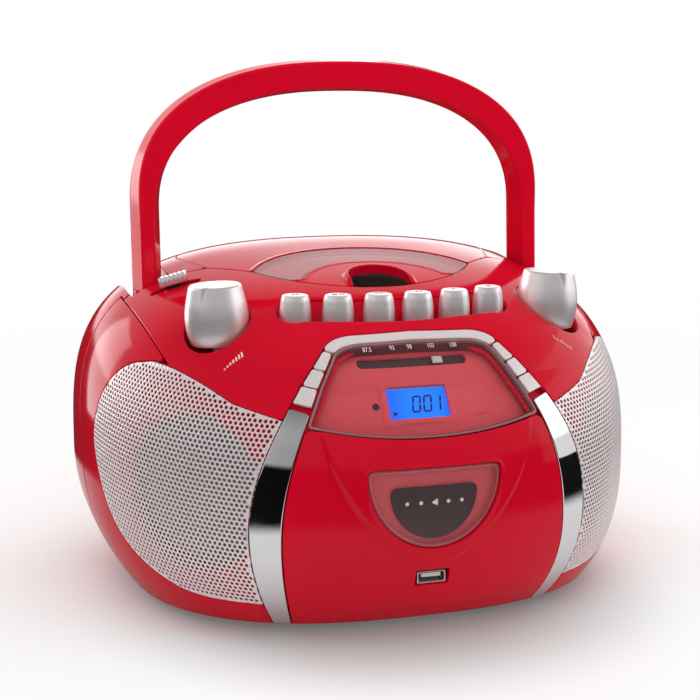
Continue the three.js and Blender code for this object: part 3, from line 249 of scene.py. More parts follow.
def case_field(p):
    """How far outside the case a point lies, as a share of its size: the superellipse lengths of its plan and
    height, less one."""
    x, back = p[..., 0], p[..., 1] - MIDDLE_Y
    h = p[..., 2] - RING_HEIGHT - TOP_SLOPE * back
    plan_power, front = case_ring(h)
    power, depth = np.where(h > 0, CROWN_POWER, BELLY_POWER), np.where(h > 0, CROWN, BELLY)
    reach = np.where(back < 0, front, REAR_REACH)
    plan = (np.abs(x / HALF_WIDTH) ** plan_power + np.abs(back / reach) ** plan_power) ** (1 / plan_power)
    return (plan ** power + np.abs(h / depth) ** power) ** (1 / power) - 1


def slope_of(field, p, step=0.02):
    """Gradient of a field at points, from its differences over one step each way along X, Y and Z."""
    return np.stack([(field(p + e) - field(p - e)) / (2 * step) for e in np.eye(3) * step], -1)


def case_normal(p):
    """Outward unit normal of the case: the gradient of its field."""
    g = slope_of(case_field, p)
    return g / np.linalg.norm(g, axis=-1, keepdims=True)


def onto_case(p, passes=3):
    """The point of the case's surface next to p, by Newton steps along the field's gradient."""
    for _ in range(passes):
        g = slope_of(case_field, p)
        p = p - g * (case_field(p) / (g * g).sum(-1))[..., None]
    return p


def front_y(x, z):
    """Front-to-back place of the case's front at x, z, by fixed-point passes: each takes the top's slope from the
    one before."""
    x, z = np.broadcast_arrays(np.asarray(x, float), np.asarray(z, float))
    y = np.full(x.shape, -90.0)
    for _ in range(40):
        h = z - TOP_SLOPE * (y - MIDDLE_Y) - RING_HEIGHT
        plan_power, front = case_ring(h)
        power, depth = np.where(h > 0, CROWN_POWER, BELLY_POWER), np.where(h > 0, CROWN, BELLY)
        ring = np.maximum(0, 1 - np.abs(h / depth) ** power) ** (1 / power)
        across = np.maximum(0, ring ** plan_power - np.abs(x / HALF_WIDTH) ** plan_power) ** (1 / plan_power)
        y = MIDDLE_Y - front * across
    return y


def top_z(x, y, inset=0.0):
    """Height of the case's top at x, y, or of the same shape drawn in by inset."""
    reach = np.where(y < MIDDLE_Y, FRONT_REACH, REAR_REACH) - inset
    plan = np.abs(x / (HALF_WIDTH - inset)) ** PLAN_POWER + np.abs((y - MIDDLE_Y) / reach) ** PLAN_POWER
    h = (CROWN - inset) * np.maximum(0, 1 - plan ** (CROWN_POWER / PLAN_POWER)) ** (1 / CROWN_POWER)
    return RING_HEIGHT + h + TOP_SLOPE * (y - MIDDLE_Y)


def plan_chart(x, y):
    """A point of the case's top over the plan place x, y."""
    return np.stack([x, y, top_z(x, y)], -1)


def mesh_piece(name, points, faces, normals=None, smooth=True):
    """A mesh object from points in millimetres and face arrays of any widths, with its own vertex normals if
    given."""
    mesh = bpy.data.meshes.new(name)
    faces = [np.asarray(f, np.int32) for f in faces if len(f)]
    widths = np.concatenate([np.full(len(f), f.shape[1], np.int32) for f in faces])
    corners = np.concatenate([f.ravel() for f in faces])
    mesh.vertices.add(len(points))
    mesh.vertices.foreach_set("co", (np.asarray(points, np.float32) * MM).ravel())
    mesh.loops.add(len(corners))
    mesh.loops.foreach_set("vertex_index", corners)
    mesh.polygons.add(len(widths))
    mesh.polygons.foreach_set("loop_start", np.concatenate([[0], np.cumsum(widths)[:-1]]).astype(np.int32))
    mesh.polygons.foreach_set("use_smooth", np.full(len(widths), smooth))
    mesh.update(calc_edges=True)
    mesh.validate()
    if normals is not None:
        normals = normals / np.maximum(1e-9, np.linalg.norm(normals, axis=1, keepdims=True))
        mesh.normals_split_custom_set_from_vertices(normals.astype(np.float32))
    piece = bpy.data.objects.new(name, mesh)
    scene.collection.objects.link(piece)
    return piece


def grid_faces(rows, columns, closed_rows=False, closed_columns=False):
    """Quads over a grid of points counted row by row; a closed way joins its last line to its first."""
    i = np.arange(rows if closed_rows else rows - 1)
    j = np.arange(columns if closed_columns else columns - 1)
    i, j = (a.ravel() for a in np.meshgrid(i, j, indexing="ij"))
    i1, j1 = (i + 1) % rows, (j + 1) % columns
    return np.stack([i * columns + j, i * columns + j1, i1 * columns + j1, i1 * columns + j], 1)


def fit(piece, body, finish, slot, *nodes):
    """Gives a piece its material, its place on a body, and the nodes it stands for; the slot is not used."""
    if piece.data.materials:
        piece.data.materials[0] = finish
    else:
        piece.data.materials.append(finish)
    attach(piece, body)
    if nodes:
        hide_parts(*nodes)
    return piece


def outline_field(outline):
    """Signed distance in a plane to a closed outline, positive inside: the least distance to its edges, signed by
    how often a ray from the point crosses them."""
    start = np.array(outline, float)
    end = np.roll(start, -1, 0)

    def field(p, q):
        """Signed distance at the places p across and q up."""
        best = np.full(p.shape, 1e9)
        inside = np.zeros(p.shape, bool)
        for (ax, ay), (bx, by) in zip(start, end):
            ex, ey = bx - ax, by - ay
            along = np.clip(((p - ax) * ex + (q - ay) * ey) / max(1e-12, ex * ex + ey * ey), 0, 1)
            best = np.minimum(best, (p - ax - along * ex) ** 2 + (q - ay - along * ey) ** 2)
            if ey:
                crosses = ((ay > q) != (by > q)) & (p < ax + (q - ay) * ex / ey)
                inside ^= crosses
        return np.sqrt(best) * np.where(inside, 1, -1)
    return field


def bend(start, control, end, steps):
    """Points of a quadratic curve: the two legs blended by one parameter from 0 to 1."""
    t = np.linspace(0, 1, steps + 1)[:, None]
    start, control, end = (np.array(v, float) for v in (start, control, end))
    return (1 - t) ** 2 * start + 2 * t * (1 - t) * control + t * t * end


def flowing(points, steps=6):
    """A smooth line through points: on each span, the cubic whose end slopes are half the chord of the
    neighbours."""
    p = np.array(points, float)
    q = np.concatenate([[2 * p[0] - p[1]], p, [2 * p[-1] - p[-2]]])
    t = (np.arange(steps) / steps)[None, :, None]
    a, b, c, d = (q[k:len(q) - 3 + k][:, None] for k in range(4))
    spans = 0.5 * (2 * b + (c - a) * t + (2 * a - 5 * b + 4 * c - d) * t ** 2 + (3 * b - a - 3 * c + d) * t ** 3)
    return np.concatenate([spans.reshape(-1, p.shape[1]), p[-1:]])


def arc_points(centre, radius, from_degrees, to_degrees, steps):
    """Points of a circle's arc: centre plus radius times the cosine and sine of evenly spaced turns."""
    a = np.radians(np.linspace(from_degrees, to_degrees, steps + 1))
    return np.stack([centre[0] + radius * np.cos(a), centre[1] + radius * np.sin(a)], 1)


def symmetric(right):
    """A whole outline from its right half, given from the bottom up: the left half is its mirror image."""
    right = np.array(right, float)
    left = right[right[:, 0] > 1e-6][::-1] * [-1, 1]
    return np.concatenate([right, left])


def wider(outline, distance):
    """An anticlockwise outline moved outwards by a distance along the mean normal of its two edges."""
    p = np.array(outline, float)
    before, after = p - np.roll(p, 1, 0), np.roll(p, -1, 0) - p
    before /= np.linalg.norm(before, axis=1, keepdims=True) + 1e-12
    after /= np.linalg.norm(after, axis=1, keepdims=True) + 1e-12
    normal = np.stack([before[:, 1] + after[:, 1], -before[:, 0] - after[:, 0]], 1)
    normal /= np.linalg.norm(normal, axis=1, keepdims=True) + 1e-12
    reach = distance / np.maximum(0.5, normal[:, 0] * before[:, 1] - normal[:, 1] * before[:, 0])
    return p + normal * reach[:, None]


def least(*fields):
    """Where all the fields hold: the least of them."""
    return np.minimum.reduce(np.broadcast_arrays(*fields))


def surface_slope(field, p, n, step=0.05):
    """A field's gradient along a surface of unit normals n: its differences over one step each way along two
    directions square to the normal and to each other."""
    e1 = np.cross(n, np.where(np.abs(n[..., 2:]) < 0.9, [0.0, 0, 1], [1.0, 0, 0]))
    e1 /= np.linalg.norm(e1, axis=-1, keepdims=True)
    e2 = np.cross(n, e1)
    d1 = (field(p + e1 * step) - field(p - e1 * step)) / (2 * step)
    d2 = (field(p + e2 * step) - field(p - e2 * step)) / (2 * step)
    return e1 * d1[..., None] + e2 * d2[..., None]


def moulded_panel(name, region, chart=case_chart, span=None, pitch=1.5, thickness=3.0, roll=0.7,
                  sink=0.0, relief=None):
    """A moulded sheet cut from the case's surface, closed all round. Points lie on a chart of the surface wherever
    region is positive. Each cell that the edge crosses is cut where the region's distance along the surface, its
    value over its tangential slope, equals the roll. From there the edge turns over a quarter circle and runs
    straight in by the thickness, and the same sheet lies inside, faced the other way. Relief lifts the outer
    sheet along its normal. The attribute rim_room holds each point's distance from the edge in millimetres."""
    if chart is case_chart:
        low, high = (-math.pi, -1.5), (math.pi, 1.55)
        scale = (150.0, 105.0)
    else:
        low, high, scale = (-150.0, -120.0), (150.0, 125.0), (1.0, 1.0)
    if span is not None:
        low, high = span
    coarse = [np.linspace(a, b, int(abs(b - a) * s / 4) + 2) for a, b, s in zip(low, high, scale)]
    u, v = np.meshgrid(*coarse, indexing="ij")
    with np.errstate(invalid="ignore"):
        held = region(chart(u, v)) > -5
    found = [(line[k.min()], line[k.max()]) for line, k in zip(coarse, np.nonzero(held))]
    lines = [np.linspace(max(a - 6 / s, lo), min(b + 6 / s, hi), int((b - a + 12 / s) * s / pitch) + 2) for (a, b),
             s, lo, hi in zip(found, scale, low, high)]
    u, v = np.meshgrid(*lines, indexing="ij")
    base = chart(u, v)

    def distance(p, n):
        """Region's distance along the surface, and the unit direction there in which it falls."""
        slope = surface_slope(region, p, n)
        steep = np.maximum(np.linalg.norm(slope, axis=-1), 0.15)
        return region(p) / steep, -slope / steep[..., None]

    value = region(base)
    near = np.abs(value) < 5
    value[near] = distance(base[near], case_normal(base[near]))[0]
    value = value - roll
    inside = value > 0
    index = -np.ones(value.shape, int)
    kept = inside.copy()
    index[kept] = np.arange(kept.sum())
    points = base[kept]
    edge_points, edge_index = [], []
    count = len(points)
    for axis in (0, 1):
        a, b = (value[:-1], value[1:]) if axis == 0 else (value[:, :-1], value[:, 1:])
        crossed = (a > 0) != (b > 0)
        share = np.where(crossed, a / np.where(crossed, a - b, 1), 0)
        i, j = np.nonzero(crossed)
        t = share[crossed]
        i1, j1 = (i + 1, j) if axis == 0 else (i, j + 1)
        cu = u[i, j] + (u[i1, j1] - u[i, j]) * t
        cv = v[i, j] + (v[i1, j1] - v[i, j]) * t
        edge_points.append(chart(cu, cv))
        table = -np.ones(crossed.shape, int)
        table[crossed] = count + np.arange(len(i))
        count += len(i)
        edge_index.append(table)
    rim = np.concatenate(edge_points)
    for _ in range(3):
        d, fall = distance(rim, case_normal(rim))
        rim = onto_case(rim + fall * np.clip(d - roll, -1.2, 1.2)[:, None] * 0.9, 1)
    d, fall = distance(rim, case_normal(rim))
    points = np.concatenate([points, rim])
    corner = [index[:-1, :-1], index[1:, :-1], index[1:, 1:], index[:-1, 1:]]
    edge = [edge_index[0][:, :-1], edge_index[1][1:], edge_index[0][:, 1:], edge_index[1][:-1]]
    mask = sum((c >= 0).astype(int) << k for k, c in enumerate(corner))
    faces, seams = {3: [], 4: [], 5: [], 6: []}, []
    for case in range(1, 16):
        at = mask == case
        if not at.any():
            continue
        ring, exits = [], []
        for k in range(4):
            here, there = case >> k & 1, case >> (k + 1) % 4 & 1
            if here:
                ring.append(corner[k][at])
            if here != there:
                exits.append((edge[k][at], bool(here)))
                ring.append(edge[k][at])
        faces[len(ring)].append(np.stack(ring, 1))
        outs = [e for e, leaving in exits if leaving]
        ins = [e for e, leaving in exits if not leaving]
        if case in (5, 10):
            ins = ins if exits[0][1] else ins[1:] + ins[:1]
        seams += [np.stack([a, b], 1) for a, b in zip(outs, ins)]
    faces = [np.concatenate(f) for f in faces.values() if f]
    seams = np.concatenate(seams)
    normal = case_normal(points)
    probe = points[faces[0][:, :3]]
    way = np.cross(probe[:, 1] - probe[:, 0], probe[:, 2] - probe[:, 0])
    if (way * normal[faces[0][:, 0]]).sum() < 0:
        faces = [f[:, ::-1] for f in faces]
        seams = seams[:, ::-1]
    outer = points - normal * sink
    shade_normal = normal
    if relief is not None:
        shade_normal = normal - surface_slope(relief, points, normal)
        shade_normal /= np.linalg.norm(shade_normal, axis=1, keepdims=True)
        outer = outer + normal * relief(points)[:, None]
    first = len(points) - len(rim)
    rim_at, rim_normal, rim_shade = outer[first:], normal[first:], shade_normal[first:]
    turns = np.radians([22.5, 45, 67.5, 90])
    rows = [rim_at + fall * roll * math.sin(t) - rim_normal * roll * (1 - math.cos(t)) for t in turns]
    shades = [rim_shade * math.cos(t) + fall * math.sin(t) for t in turns]
    floor_line = points[first:] - rim_normal * (sink + thickness)
    rows.append(floor_line + fall * roll)
    shades.append(fall)
    all_points, all_normals = [outer, *rows], [shade_normal, *shades]
    width = len(rim)
    starts = [first] + [len(outer) + k * width for k in range(len(rows))]
    links = []
    for a, b in zip(starts[:-1], starts[1:]):
        s0, s1 = seams[:, 0] - first, seams[:, 1] - first
        links.append(np.stack([a + s1, a + s0, b + s0, b + s1], 1))
    below = len(outer) + len(rows) * width
    all_points.append(points - normal * (sink + thickness))
    all_normals.append(-normal)
    links.append(np.stack([starts[-1] + s1, starts[-1] + s0, below + seams[:, 0], below + seams[:, 1]], 1))
    faces = faces + [f[:, ::-1] + below for f in faces]
    piece = mesh_piece(name, np.concatenate(all_points), faces + links, np.concatenate(all_normals))
    rim_room = np.zeros(len(piece.data.vertices), np.float32)
    rim_room[:first] = np.clip(value[kept] + roll, 0, 20)
    rim_room[first:len(outer)] = roll
    rim_room[below:below + len(outer)] = rim_room[:len(outer)]
    piece.data.attributes.new("rim_room", "FLOAT", "POINT").data.foreach_set("value", rim_room)
    return piece


# Pieces of the front count only before FACE_Y, and those of the top only above UPPER_Z.
FACE_Y, UPPER_Z = -20.0, 120.0


def parts(p):
    """The three coordinates of points."""
    return p[..., 0], p[..., 1], p[..., 2]


def strip_inner(z):
    """Half width inside the chrome strips at height z: a parabola about 52 mm up."""
    return 74 - (np.maximum(z, 0) - 52) ** 2 / 240


def strip_outer(z):
    """Half width outside the chrome strips at height z: a parabola about 56 mm up."""
    return 88.5 - (np.maximum(z, 0) - 56) ** 2 / 172


shoulder_z, arch_top, arch_band = 141.0, 148.2, 3.7
side_z = np.linspace(-20, shoulder_z, 60)
unit_corner = bend((strip_outer(shoulder_z), shoulder_z), (strip_outer(shoulder_z) - 4.3, arch_top - 1.5),
                   (30, arch_top - 0.9), 14)
unit_outline = symmetric([*np.stack([strip_outer(side_z), side_z], 1), *unit_corner[1:], (0, arch_top)])
unit_shape = outline_field(unit_outline)
panel_roof = bend((92, 117.5), (112, 132), (124, 132.5), 10)
panel_front = symmetric([(0, 111), (strip_outer(111) + GAP, 111), *panel_roof[:-1], (117, 132.6), (126, 154),
                         (126, 210)])
panel_front_shape = outline_field(panel_front)
mesh_side_z = np.linspace(111, 17.8, 40)
mesh_front_shape = outline_field([*np.stack([strip_outer(mesh_side_z) + GAP, mesh_side_z], 1), (104, 18.6),
                                  (118, 12), (170, 12), (170, 133), *panel_roof[::-1]])
mesh_bow = flowing([(-100, 15.5), (-86, 18.5), (-74, 21), (-58, 29), (-44, 39), (-31, 54), (-19, 74), (-14, 90),
                    (-18, 108), (-25, 121), (-34, 129), (-46, 132.2)], 5)
mesh_side_shape = outline_field([(-200, 15), *mesh_bow, (-70, 150), (-200, 150)])


def mesh_zone(p):
    """Inside a loudspeaker opening: its outline seen from the front and its bowed rear edge seen from the side."""
    x, y, z = parts(p)
    return least(mesh_front_shape(np.abs(x), z), mesh_side_shape(y, z))


def seen_from_front(shape, inset=0.0, side=1):
    """A zone of the case's front: inside a shape seen from the front, or its mirror image where side is -1, less an
    inset all round. Only places ahead of FACE_Y count."""
    def zone(p):
        """How far inside the shape a point lies, or how far ahead of FACE_Y where that is less."""
        x, y, z = parts(p)
        return least(shape(x * side, z) - inset, FACE_Y - y)
    return zone


unit_zone = seen_from_front(unit_shape)


def seam_y(z):
    """Front-to-back place of the seam between the cabinet halves at height z: it leans back by a quarter."""
    return 7 + 0.25 * (z - 65)


def front_zone(p):
    """The front cabinet's share of the case: before the seam, above the base, and round the openings."""
    x, y, z = parts(p)
    return least(seam_y(z) - y, z - BASE_HEIGHT, -GAP - panel_front_shape(x, z), -GAP - unit_zone(p),
                 -GAP - mesh_zone(p))


def material(name, roughness=0.3, metallic=0.0, gloss=0.5):
    """A material with its shader, and the place of each point in the frame as a vector."""
    made = bpy.data.materials.new(name)
    made.use_nodes = True
    shader = made.node_tree.nodes["Principled BSDF"]
    shader.inputs["Roughness"].default_value = roughness
    shader.inputs["Metallic"].default_value = metallic
    shader.inputs["Specular IOR Level"].default_value = gloss
    tree = made.node_tree
    return made, shader, Flow(tree, tree.nodes.new("ShaderNodeTexCoord").outputs["Object"])


def drive(shader, socket, flow):
    """Links a flow into one of the shader's sockets."""
    flow.tree.links.new(flow.socket, shader.inputs[socket])


def bumped(shader, height, distance, strength=1.0):
    """Tilts the surface by a height from 0 to 1 over a real depth in metres."""
    tilt = height.node("ShaderNodeBump", {}, {"Height": height, "Distance": distance, "Strength": strength})
    drive(shader, "Normal", tilt)


def mottled(name, first, second, grain, roughness, metallic=0.0, gloss=0.5, detail=2.0, pits=None):
    """A material whose colour drifts between two close tones with noise of one grain. Pits give the grain, depth
    and strength of a fine unevenness."""
    made, shader, place = material(name, roughness, metallic, gloss)
    drive(shader, "Base Color", place.noise(grain, detail).blend(first, second))
    if pits:
        bumped(shader, place.noise(pits[0]), pits[1], pits[2])
    return made


def glossy_plastic(name, tint, shadow, roughness=0.10):
    """Injection-moulded plastic: a clear even colour with faint flow clouds, mould polish that varies a little,
    very shallow orange peel and scattered dust."""
    made, shader, place = material(name, roughness, gloss=0.19)
    clouds = place.noise(14.0, 3.0)
    dust = place.noise(900.0, 2.0, 0.7).between(0.70, 0.80)
    colour = clouds.between(0.3, 0.7).blend(shadow, tint)
    drive(shader, "Base Color", colour)
    drive(shader, "Roughness", place.noise(60.0, 3.0).between(0.2, 0.8, roughness * 0.8, roughness * 1.25)
          + dust * 0.1)
    bumped(shader, place.noise(230.0, 2.0), 0.00001, 0.5)
    return made


red_plastic = glossy_plastic("red_polystyrene", (0.62, 0.002, 0.019), (0.58, 0.0018, 0.017))
fit(moulded_panel("front_shell", front_zone, thickness=WALL, roll=0.8), "case", red_plastic, "red_shell",
    "front_cabinet")

mesh_seat = 1.8
speaker_centre = np.array((107.0, -78.0, 72.0))
speaker_turn = math.radians(42)
speaker_out = np.array((math.sin(speaker_turn), -math.cos(speaker_turn), 0.0))
speaker_bore = 40.0


def bore_distance(p, side):
    """Distance from a loudspeaker's axis, on the given side."""
    q = p * (side, 1, 1) - speaker_centre
    along = q @ speaker_out
    return np.linalg.norm(q - along[..., None] * speaker_out, axis=-1)


def tube(name, centre, axis, radius, thickness, top_points, bottom, turns=72):
    """A round wall about an axis: it starts level with given heights along the axis, turns over a small rounded
    top, runs to one depth, and comes back up outside."""
    axis = np.array(axis, float) / np.linalg.norm(axis)
    first = np.cross(axis, (0.0, 1.0, 0.0) if abs(axis[1]) < 0.8 else (1.0, 0, 0))
    first /= np.linalg.norm(first)
    second = np.cross(axis, first)
    a = np.linspace(0, 2 * math.pi, turns, endpoint=False)
    out = np.cos(a)[:, None] * first + np.sin(a)[:, None] * second
    tops = top_points(out)
    edge = thickness * 0.3
    profile = [(0, 0, edge), (0, 1, bottom), (thickness, 1, bottom), (thickness, 0, edge), (thickness - edge, 0, 0),
               (edge, 0, 0)]
    rows = []
    for step, fixed, depth in profile:
        height = np.full(turns, depth) if fixed else tops - depth
        rows.append(centre + out * (radius + step) + axis * height[:, None])
    points = np.concatenate(rows)
    faces = grid_faces(len(profile), turns, True, True)
    return mesh_piece(name, points, [faces])


def halved(low, high, outside, passes=40):
    """The last value between low and high before outside holds, by halving the span over and over."""
    for _ in range(passes):
        middle = (low + high) / 2
        out = outside(middle)
        low, high = np.where(out, low, middle), np.where(out, middle, high)
    return low


def along_to_case(start, axis, inset, far=60.0):
    """How far along an axis from each start, up to far, the case's surface drawn in by inset is met."""
    def outside(reach):
        """Whether each start's point at its reach lies less than the inset inside the case, or out of it."""
        q = start + axis * reach[:, None]
        return case_field(q + case_normal(q) * inset) > 0
    return halved(np.zeros(len(start)), np.full(len(start), far), outside, 30)


for side, side_name in SIDES:
    def baffle_zone(p):
        """The recessed ledge behind a grille, with a round opening for the loudspeaker."""
        return least(mesh_zone(p) + GAP + 1.0, bore_distance(p, side) - speaker_bore, p[..., 0] * side)

    baffle = moulded_panel(side_name + "_baffle", baffle_zone, thickness=WALL - mesh_seat, roll=0.4,
                           sink=mesh_seat + 0.2, pitch=2.0)
    fit(baffle, "case", red_plastic, "red_shell")
    facing = speaker_out * (side, 1, 1)
    seat = speaker_centre * (side, 1, 1) - facing * 12.0
    collar = tube(side_name + "_speaker_collar", seat, facing, speaker_bore, 2.6,
                  lambda out: along_to_case(seat + out * speaker_bore, facing, mesh_seat + 1.0), 0.0)
    fit(collar, "case", red_plastic, "red_shell")

opening_z = np.linspace(BASE_HEIGHT + WALL, 138, 40)
opening_shape = outline_field(symmetric([*np.stack([strip_inner(opening_z) - 4, opening_z], 1), (28, 143.0),
                                         (0, 144.0)]))


def ledge_zone(p):
    """The recessed rim round the opening that carries the strips, the arch and the display window."""
    x, y, z = parts(p)
    return least(unit_zone(p) + GAP + 0.8, -opening_shape(x, z), z - 15.0)


fit(moulded_panel("centre_ledge", ledge_zone, thickness=1.9, roll=0.3, sink=SKIN + GAP), "case", red_plastic,
    "red_shell")


# ---- Rear cabinet ----
# The rear half of the case is moulded in the same red and closes the case behind the seam. Round the disc lid
# it has a flush opening, and on each shoulder an open channel takes a leg of the handle when it folds back.
# The battery door, the mains inlet and the aerial's rebate are let into its back.
LID_RADIUS, DISC_Y = 68.2, 21.0
lid_edge = arc_points((0, DISC_Y), LID_RADIUS, -90, -25.6, 30)
lid_outline = symmetric([(0, DISC_Y - LID_RADIUS), *lid_edge[1:],
                         *flowing([(81, 12), (88, 36), (90.5, 50), (90, 55), (86, 61)], 4), (62, 93),
                         (54, 98), (0, 98)])
lid_shape = outline_field(lid_outline)
lid_arc = arc_points((0, DISC_Y), LID_RADIUS + GAP, -25.6, -154.4, 60)
panel_side = np.array([(160, 40), (126, 24), (121, 17.5), (100, 17), (81 + GAP, 12)], float)
panel_plan_shape = outline_field([(-160, -260), (160, -260), *panel_side, *lid_arc, *(panel_side * (-1, 1))[::-1]])
battery_shape = outline_field([(-79, 17.5), (29, 17.5), (29, 84.5), (-79, 84.5)])
CHANNEL_X, CHANNEL_Y, CHANNEL_FLOOR = (101.2, 122.4), (18.6, 116.0), 140.5
INLET_X, INLET_Z = 72.0, 39.0


def channel_zone(p):
    """Inside a handle channel seen from above, on either shoulder."""
    x, y, z = parts(p)
    return least(np.abs(x) - CHANNEL_X[0], CHANNEL_X[1] - np.abs(x), y - CHANNEL_Y[0], CHANNEL_Y[1] - y,
                 z - CHANNEL_FLOOR)


def rear_zone(p):
    """The rear cabinet's share: what the front cabinet and the control panel leave, round its own openings."""
    x, y, z = parts(p)
    panel = panel_front_shape(x, z)
    others = np.maximum(least(seam_y(z) - y, -panel), least(panel, panel_plan_shape(x, y)))
    lid = least(lid_shape(x, y), z - UPPER_Z)
    battery = least(battery_shape(x, z), y - 90)
    inlet = least(14.3 - np.abs(x - INLET_X), 12.3 - np.abs(z - INLET_Z), y - 86)
    rebate = least(84 - np.abs(x), y - 109, z - 148)
    return least(-GAP - others, z - BASE_HEIGHT, -GAP - lid, -channel_zone(p), -GAP - battery, -inlet, -rebate)


fit(moulded_panel("rear_shell", rear_zone, span=((0.0, -1.5), (2 * math.pi, 1.55)), thickness=WALL, roll=0.8,
                  pitch=1.9), "case", red_plastic, "red_shell", "rear_cabinet")


def ringed(name, rings, normals=None):
    """A closed skin over rings of points, one after another, with a fan of triangles over each end."""
    width = len(rings[0])
    points = [np.asarray(r, float) for r in rings]
    faces = [grid_faces(len(rings), width, False, True)]
    count = len(rings) * width
    j = np.arange(width)
    if normals is not None:
        normals = [np.asarray(n, float) for n in normals]
    for last, at in ((0, 0), (len(rings) - 1, (len(rings) - 1) * width)):
        fan = np.stack([np.full(width, count), at + j, at + (j + 1) % width], 1)
        faces.append(fan if last else fan[:, [0, 2, 1]])
        points.append(points[last].mean(0, keepdims=True))
        count += 1
        if normals is not None:
            normals.append(normals[last].mean(0, keepdims=True))
    faces = [f[:, ::-1] for f in faces]
    return mesh_piece(name, np.concatenate(points), faces, None if normals is None else np.concatenate(normals))


def at_height(plan, height):
    """Plan points at one height, or at a height each."""
    return np.concatenate([plan, np.broadcast_to(height, (len(plan),))[:, None]], 1)


def tray(name, outline, floor, top, wall, fillet=1.2):
    """A sunk tray: from the middle of a flat floor out to an anticlockwise plan outline, round a small fillet, up
    to the heights that top gives over the plan, over a rim and down outside to the underside."""
    outline = np.asarray(outline, float)
    middle = outline.mean(0)
    outside = wider(outline, wall)
    inner_top = np.maximum(top(outline[:, 0], outline[:, 1]), floor + 0.1)
    outer_top = np.maximum(np.minimum(top(outside[:, 0], outside[:, 1]), inner_top), floor + 0.05)
    rings = [at_height(middle + (outline - middle) * share, floor) for share in (0.02, 0.5, 0.85)]
    for turn in np.radians([0, 30, 60, 90]):
        rings.append(at_height(wider(outline, -fillet * (1 - math.sin(turn))), floor + fillet * (1 - math.cos(turn))))
    rings += [at_height(outline, inner_top), at_height(wider(outline, wall * 0.3), inner_top + 0.05),
              at_height(outside, outer_top - 0.25), at_height(outside, floor - wall),
              at_height(middle + (outside - middle) * 0.02, floor - wall)]
    return ringed(name, rings)


def rear_y(x, z):
    """Front-to-back place of the case's rear at x, z, by forty halvings between its middle and y 130."""
    return halved(np.full(np.shape(x), MIDDLE_Y), np.full(np.shape(x), 130.0),
                  lambda y: case_field(np.stack([x, y, np.broadcast_to(z, np.shape(x))], -1)) > 0)


for side, side_name in SIDES:
    across = np.linspace(CHANNEL_X[0], CHANNEL_X[1], 12)
    back = rear_y(across, CHANNEL_FLOOR) - 0.5
    outer_way = np.linspace(CHANNEL_Y[0] + 1, back[-1] - 1, 30)
    inner_way = np.linspace(back[0] - 1, CHANNEL_Y[0] + 1, 30)
    walk = np.concatenate([np.stack([across, np.full(12, CHANNEL_Y[0])], 1),
                           np.stack([np.full(30, CHANNEL_X[1]), outer_way], 1),
                           np.stack([across, back], 1)[::-1],
                           np.stack([np.full(30, CHANNEL_X[0]), inner_way], 1)])
    if side < 0:
        walk = (walk * (-1, 1))[::-1]
    fit(tray(side_name + "_handle_channel", walk, CHANNEL_FLOOR, lambda x, y: top_z(x, y) - 0.9, 2.0), "case",
        red_plastic, "red_shell")


# The underside is a flat moulded floor with a shallow raised border, and four short round feet stand on it.
def base_ring(inset):
    """The case's outline at its base height, drawn in by inset towards the middle."""
    count, middle = 240, (0, MIDDLE_Y - 20, BASE_HEIGHT)
    turn = np.linspace(0, 2 * math.pi, count, endpoint=False)
    way = np.stack([np.sin(turn), -np.cos(turn), np.zeros(count)], 1)

    def outside(reach):
        """Whether the point at each heading's reach lies outside the case."""
        return case_field(way * reach[:, None] + middle) > 0
    return way * (halved(np.zeros(count), np.full(count, 260.0), outside) - inset)[:, None] + middle


base_steps = [(200, 2.2), (60, 2.2), (13, 2.2), (12.2, 2.0), (11.2, 0.6), (10.4, 0.1), (3, 0.0), (0.9, 0.0),
              (0.5, 0.6), (0.4, 2.0), (5, 2.0), (6, 4.0), (60, 4.0), (200, 4.0)]
DEEPEST_INSET = 96.0
base_rings = [base_ring(min(inset, DEEPEST_INSET)) + (0, 0, lift) for inset, lift in base_steps]
fit(ringed("underside", base_rings[::-1]), "case", red_plastic, "red_shell")


def softened(corners, radius, steps=5):
    """A profile with its inner corners rounded: each is swapped for a short quadratic curve, and the second result
    is the outward normal of each point, turned evenly through the curve."""
    p = np.array(corners, float)
    leg = np.diff(p, axis=0)
    length = np.linalg.norm(leg, axis=1, keepdims=True)
    way = leg / length
    side = np.stack([way[:, 1], -way[:, 0]], 1)
    radius = np.broadcast_to(radius, (len(p),))
    points, normals = [p[:1]], [side[:1]]
    t = np.linspace(0, 1, steps + 1)[:, None]
    for k in range(1, len(p) - 1):
        cosine = np.clip(way[k - 1] @ way[k], -1, 1)
        reach = min(radius[k] * math.tan(math.acos(cosine) / 2), 0.45 * length[k - 1, 0], 0.45 * length[k, 0])
        start, end = p[k] - way[k - 1] * reach, p[k] + way[k] * reach
        points.append((1 - t) ** 2 * start + 2 * t * (1 - t) * p[k] + t * t * end)
        mixed = (1 - t) * side[k - 1] + t * side[k]
        normals.append(mixed / np.linalg.norm(mixed, axis=1, keepdims=True))
    return np.concatenate(points + [p[-1:]]), np.concatenate(normals + [side[-1:]])


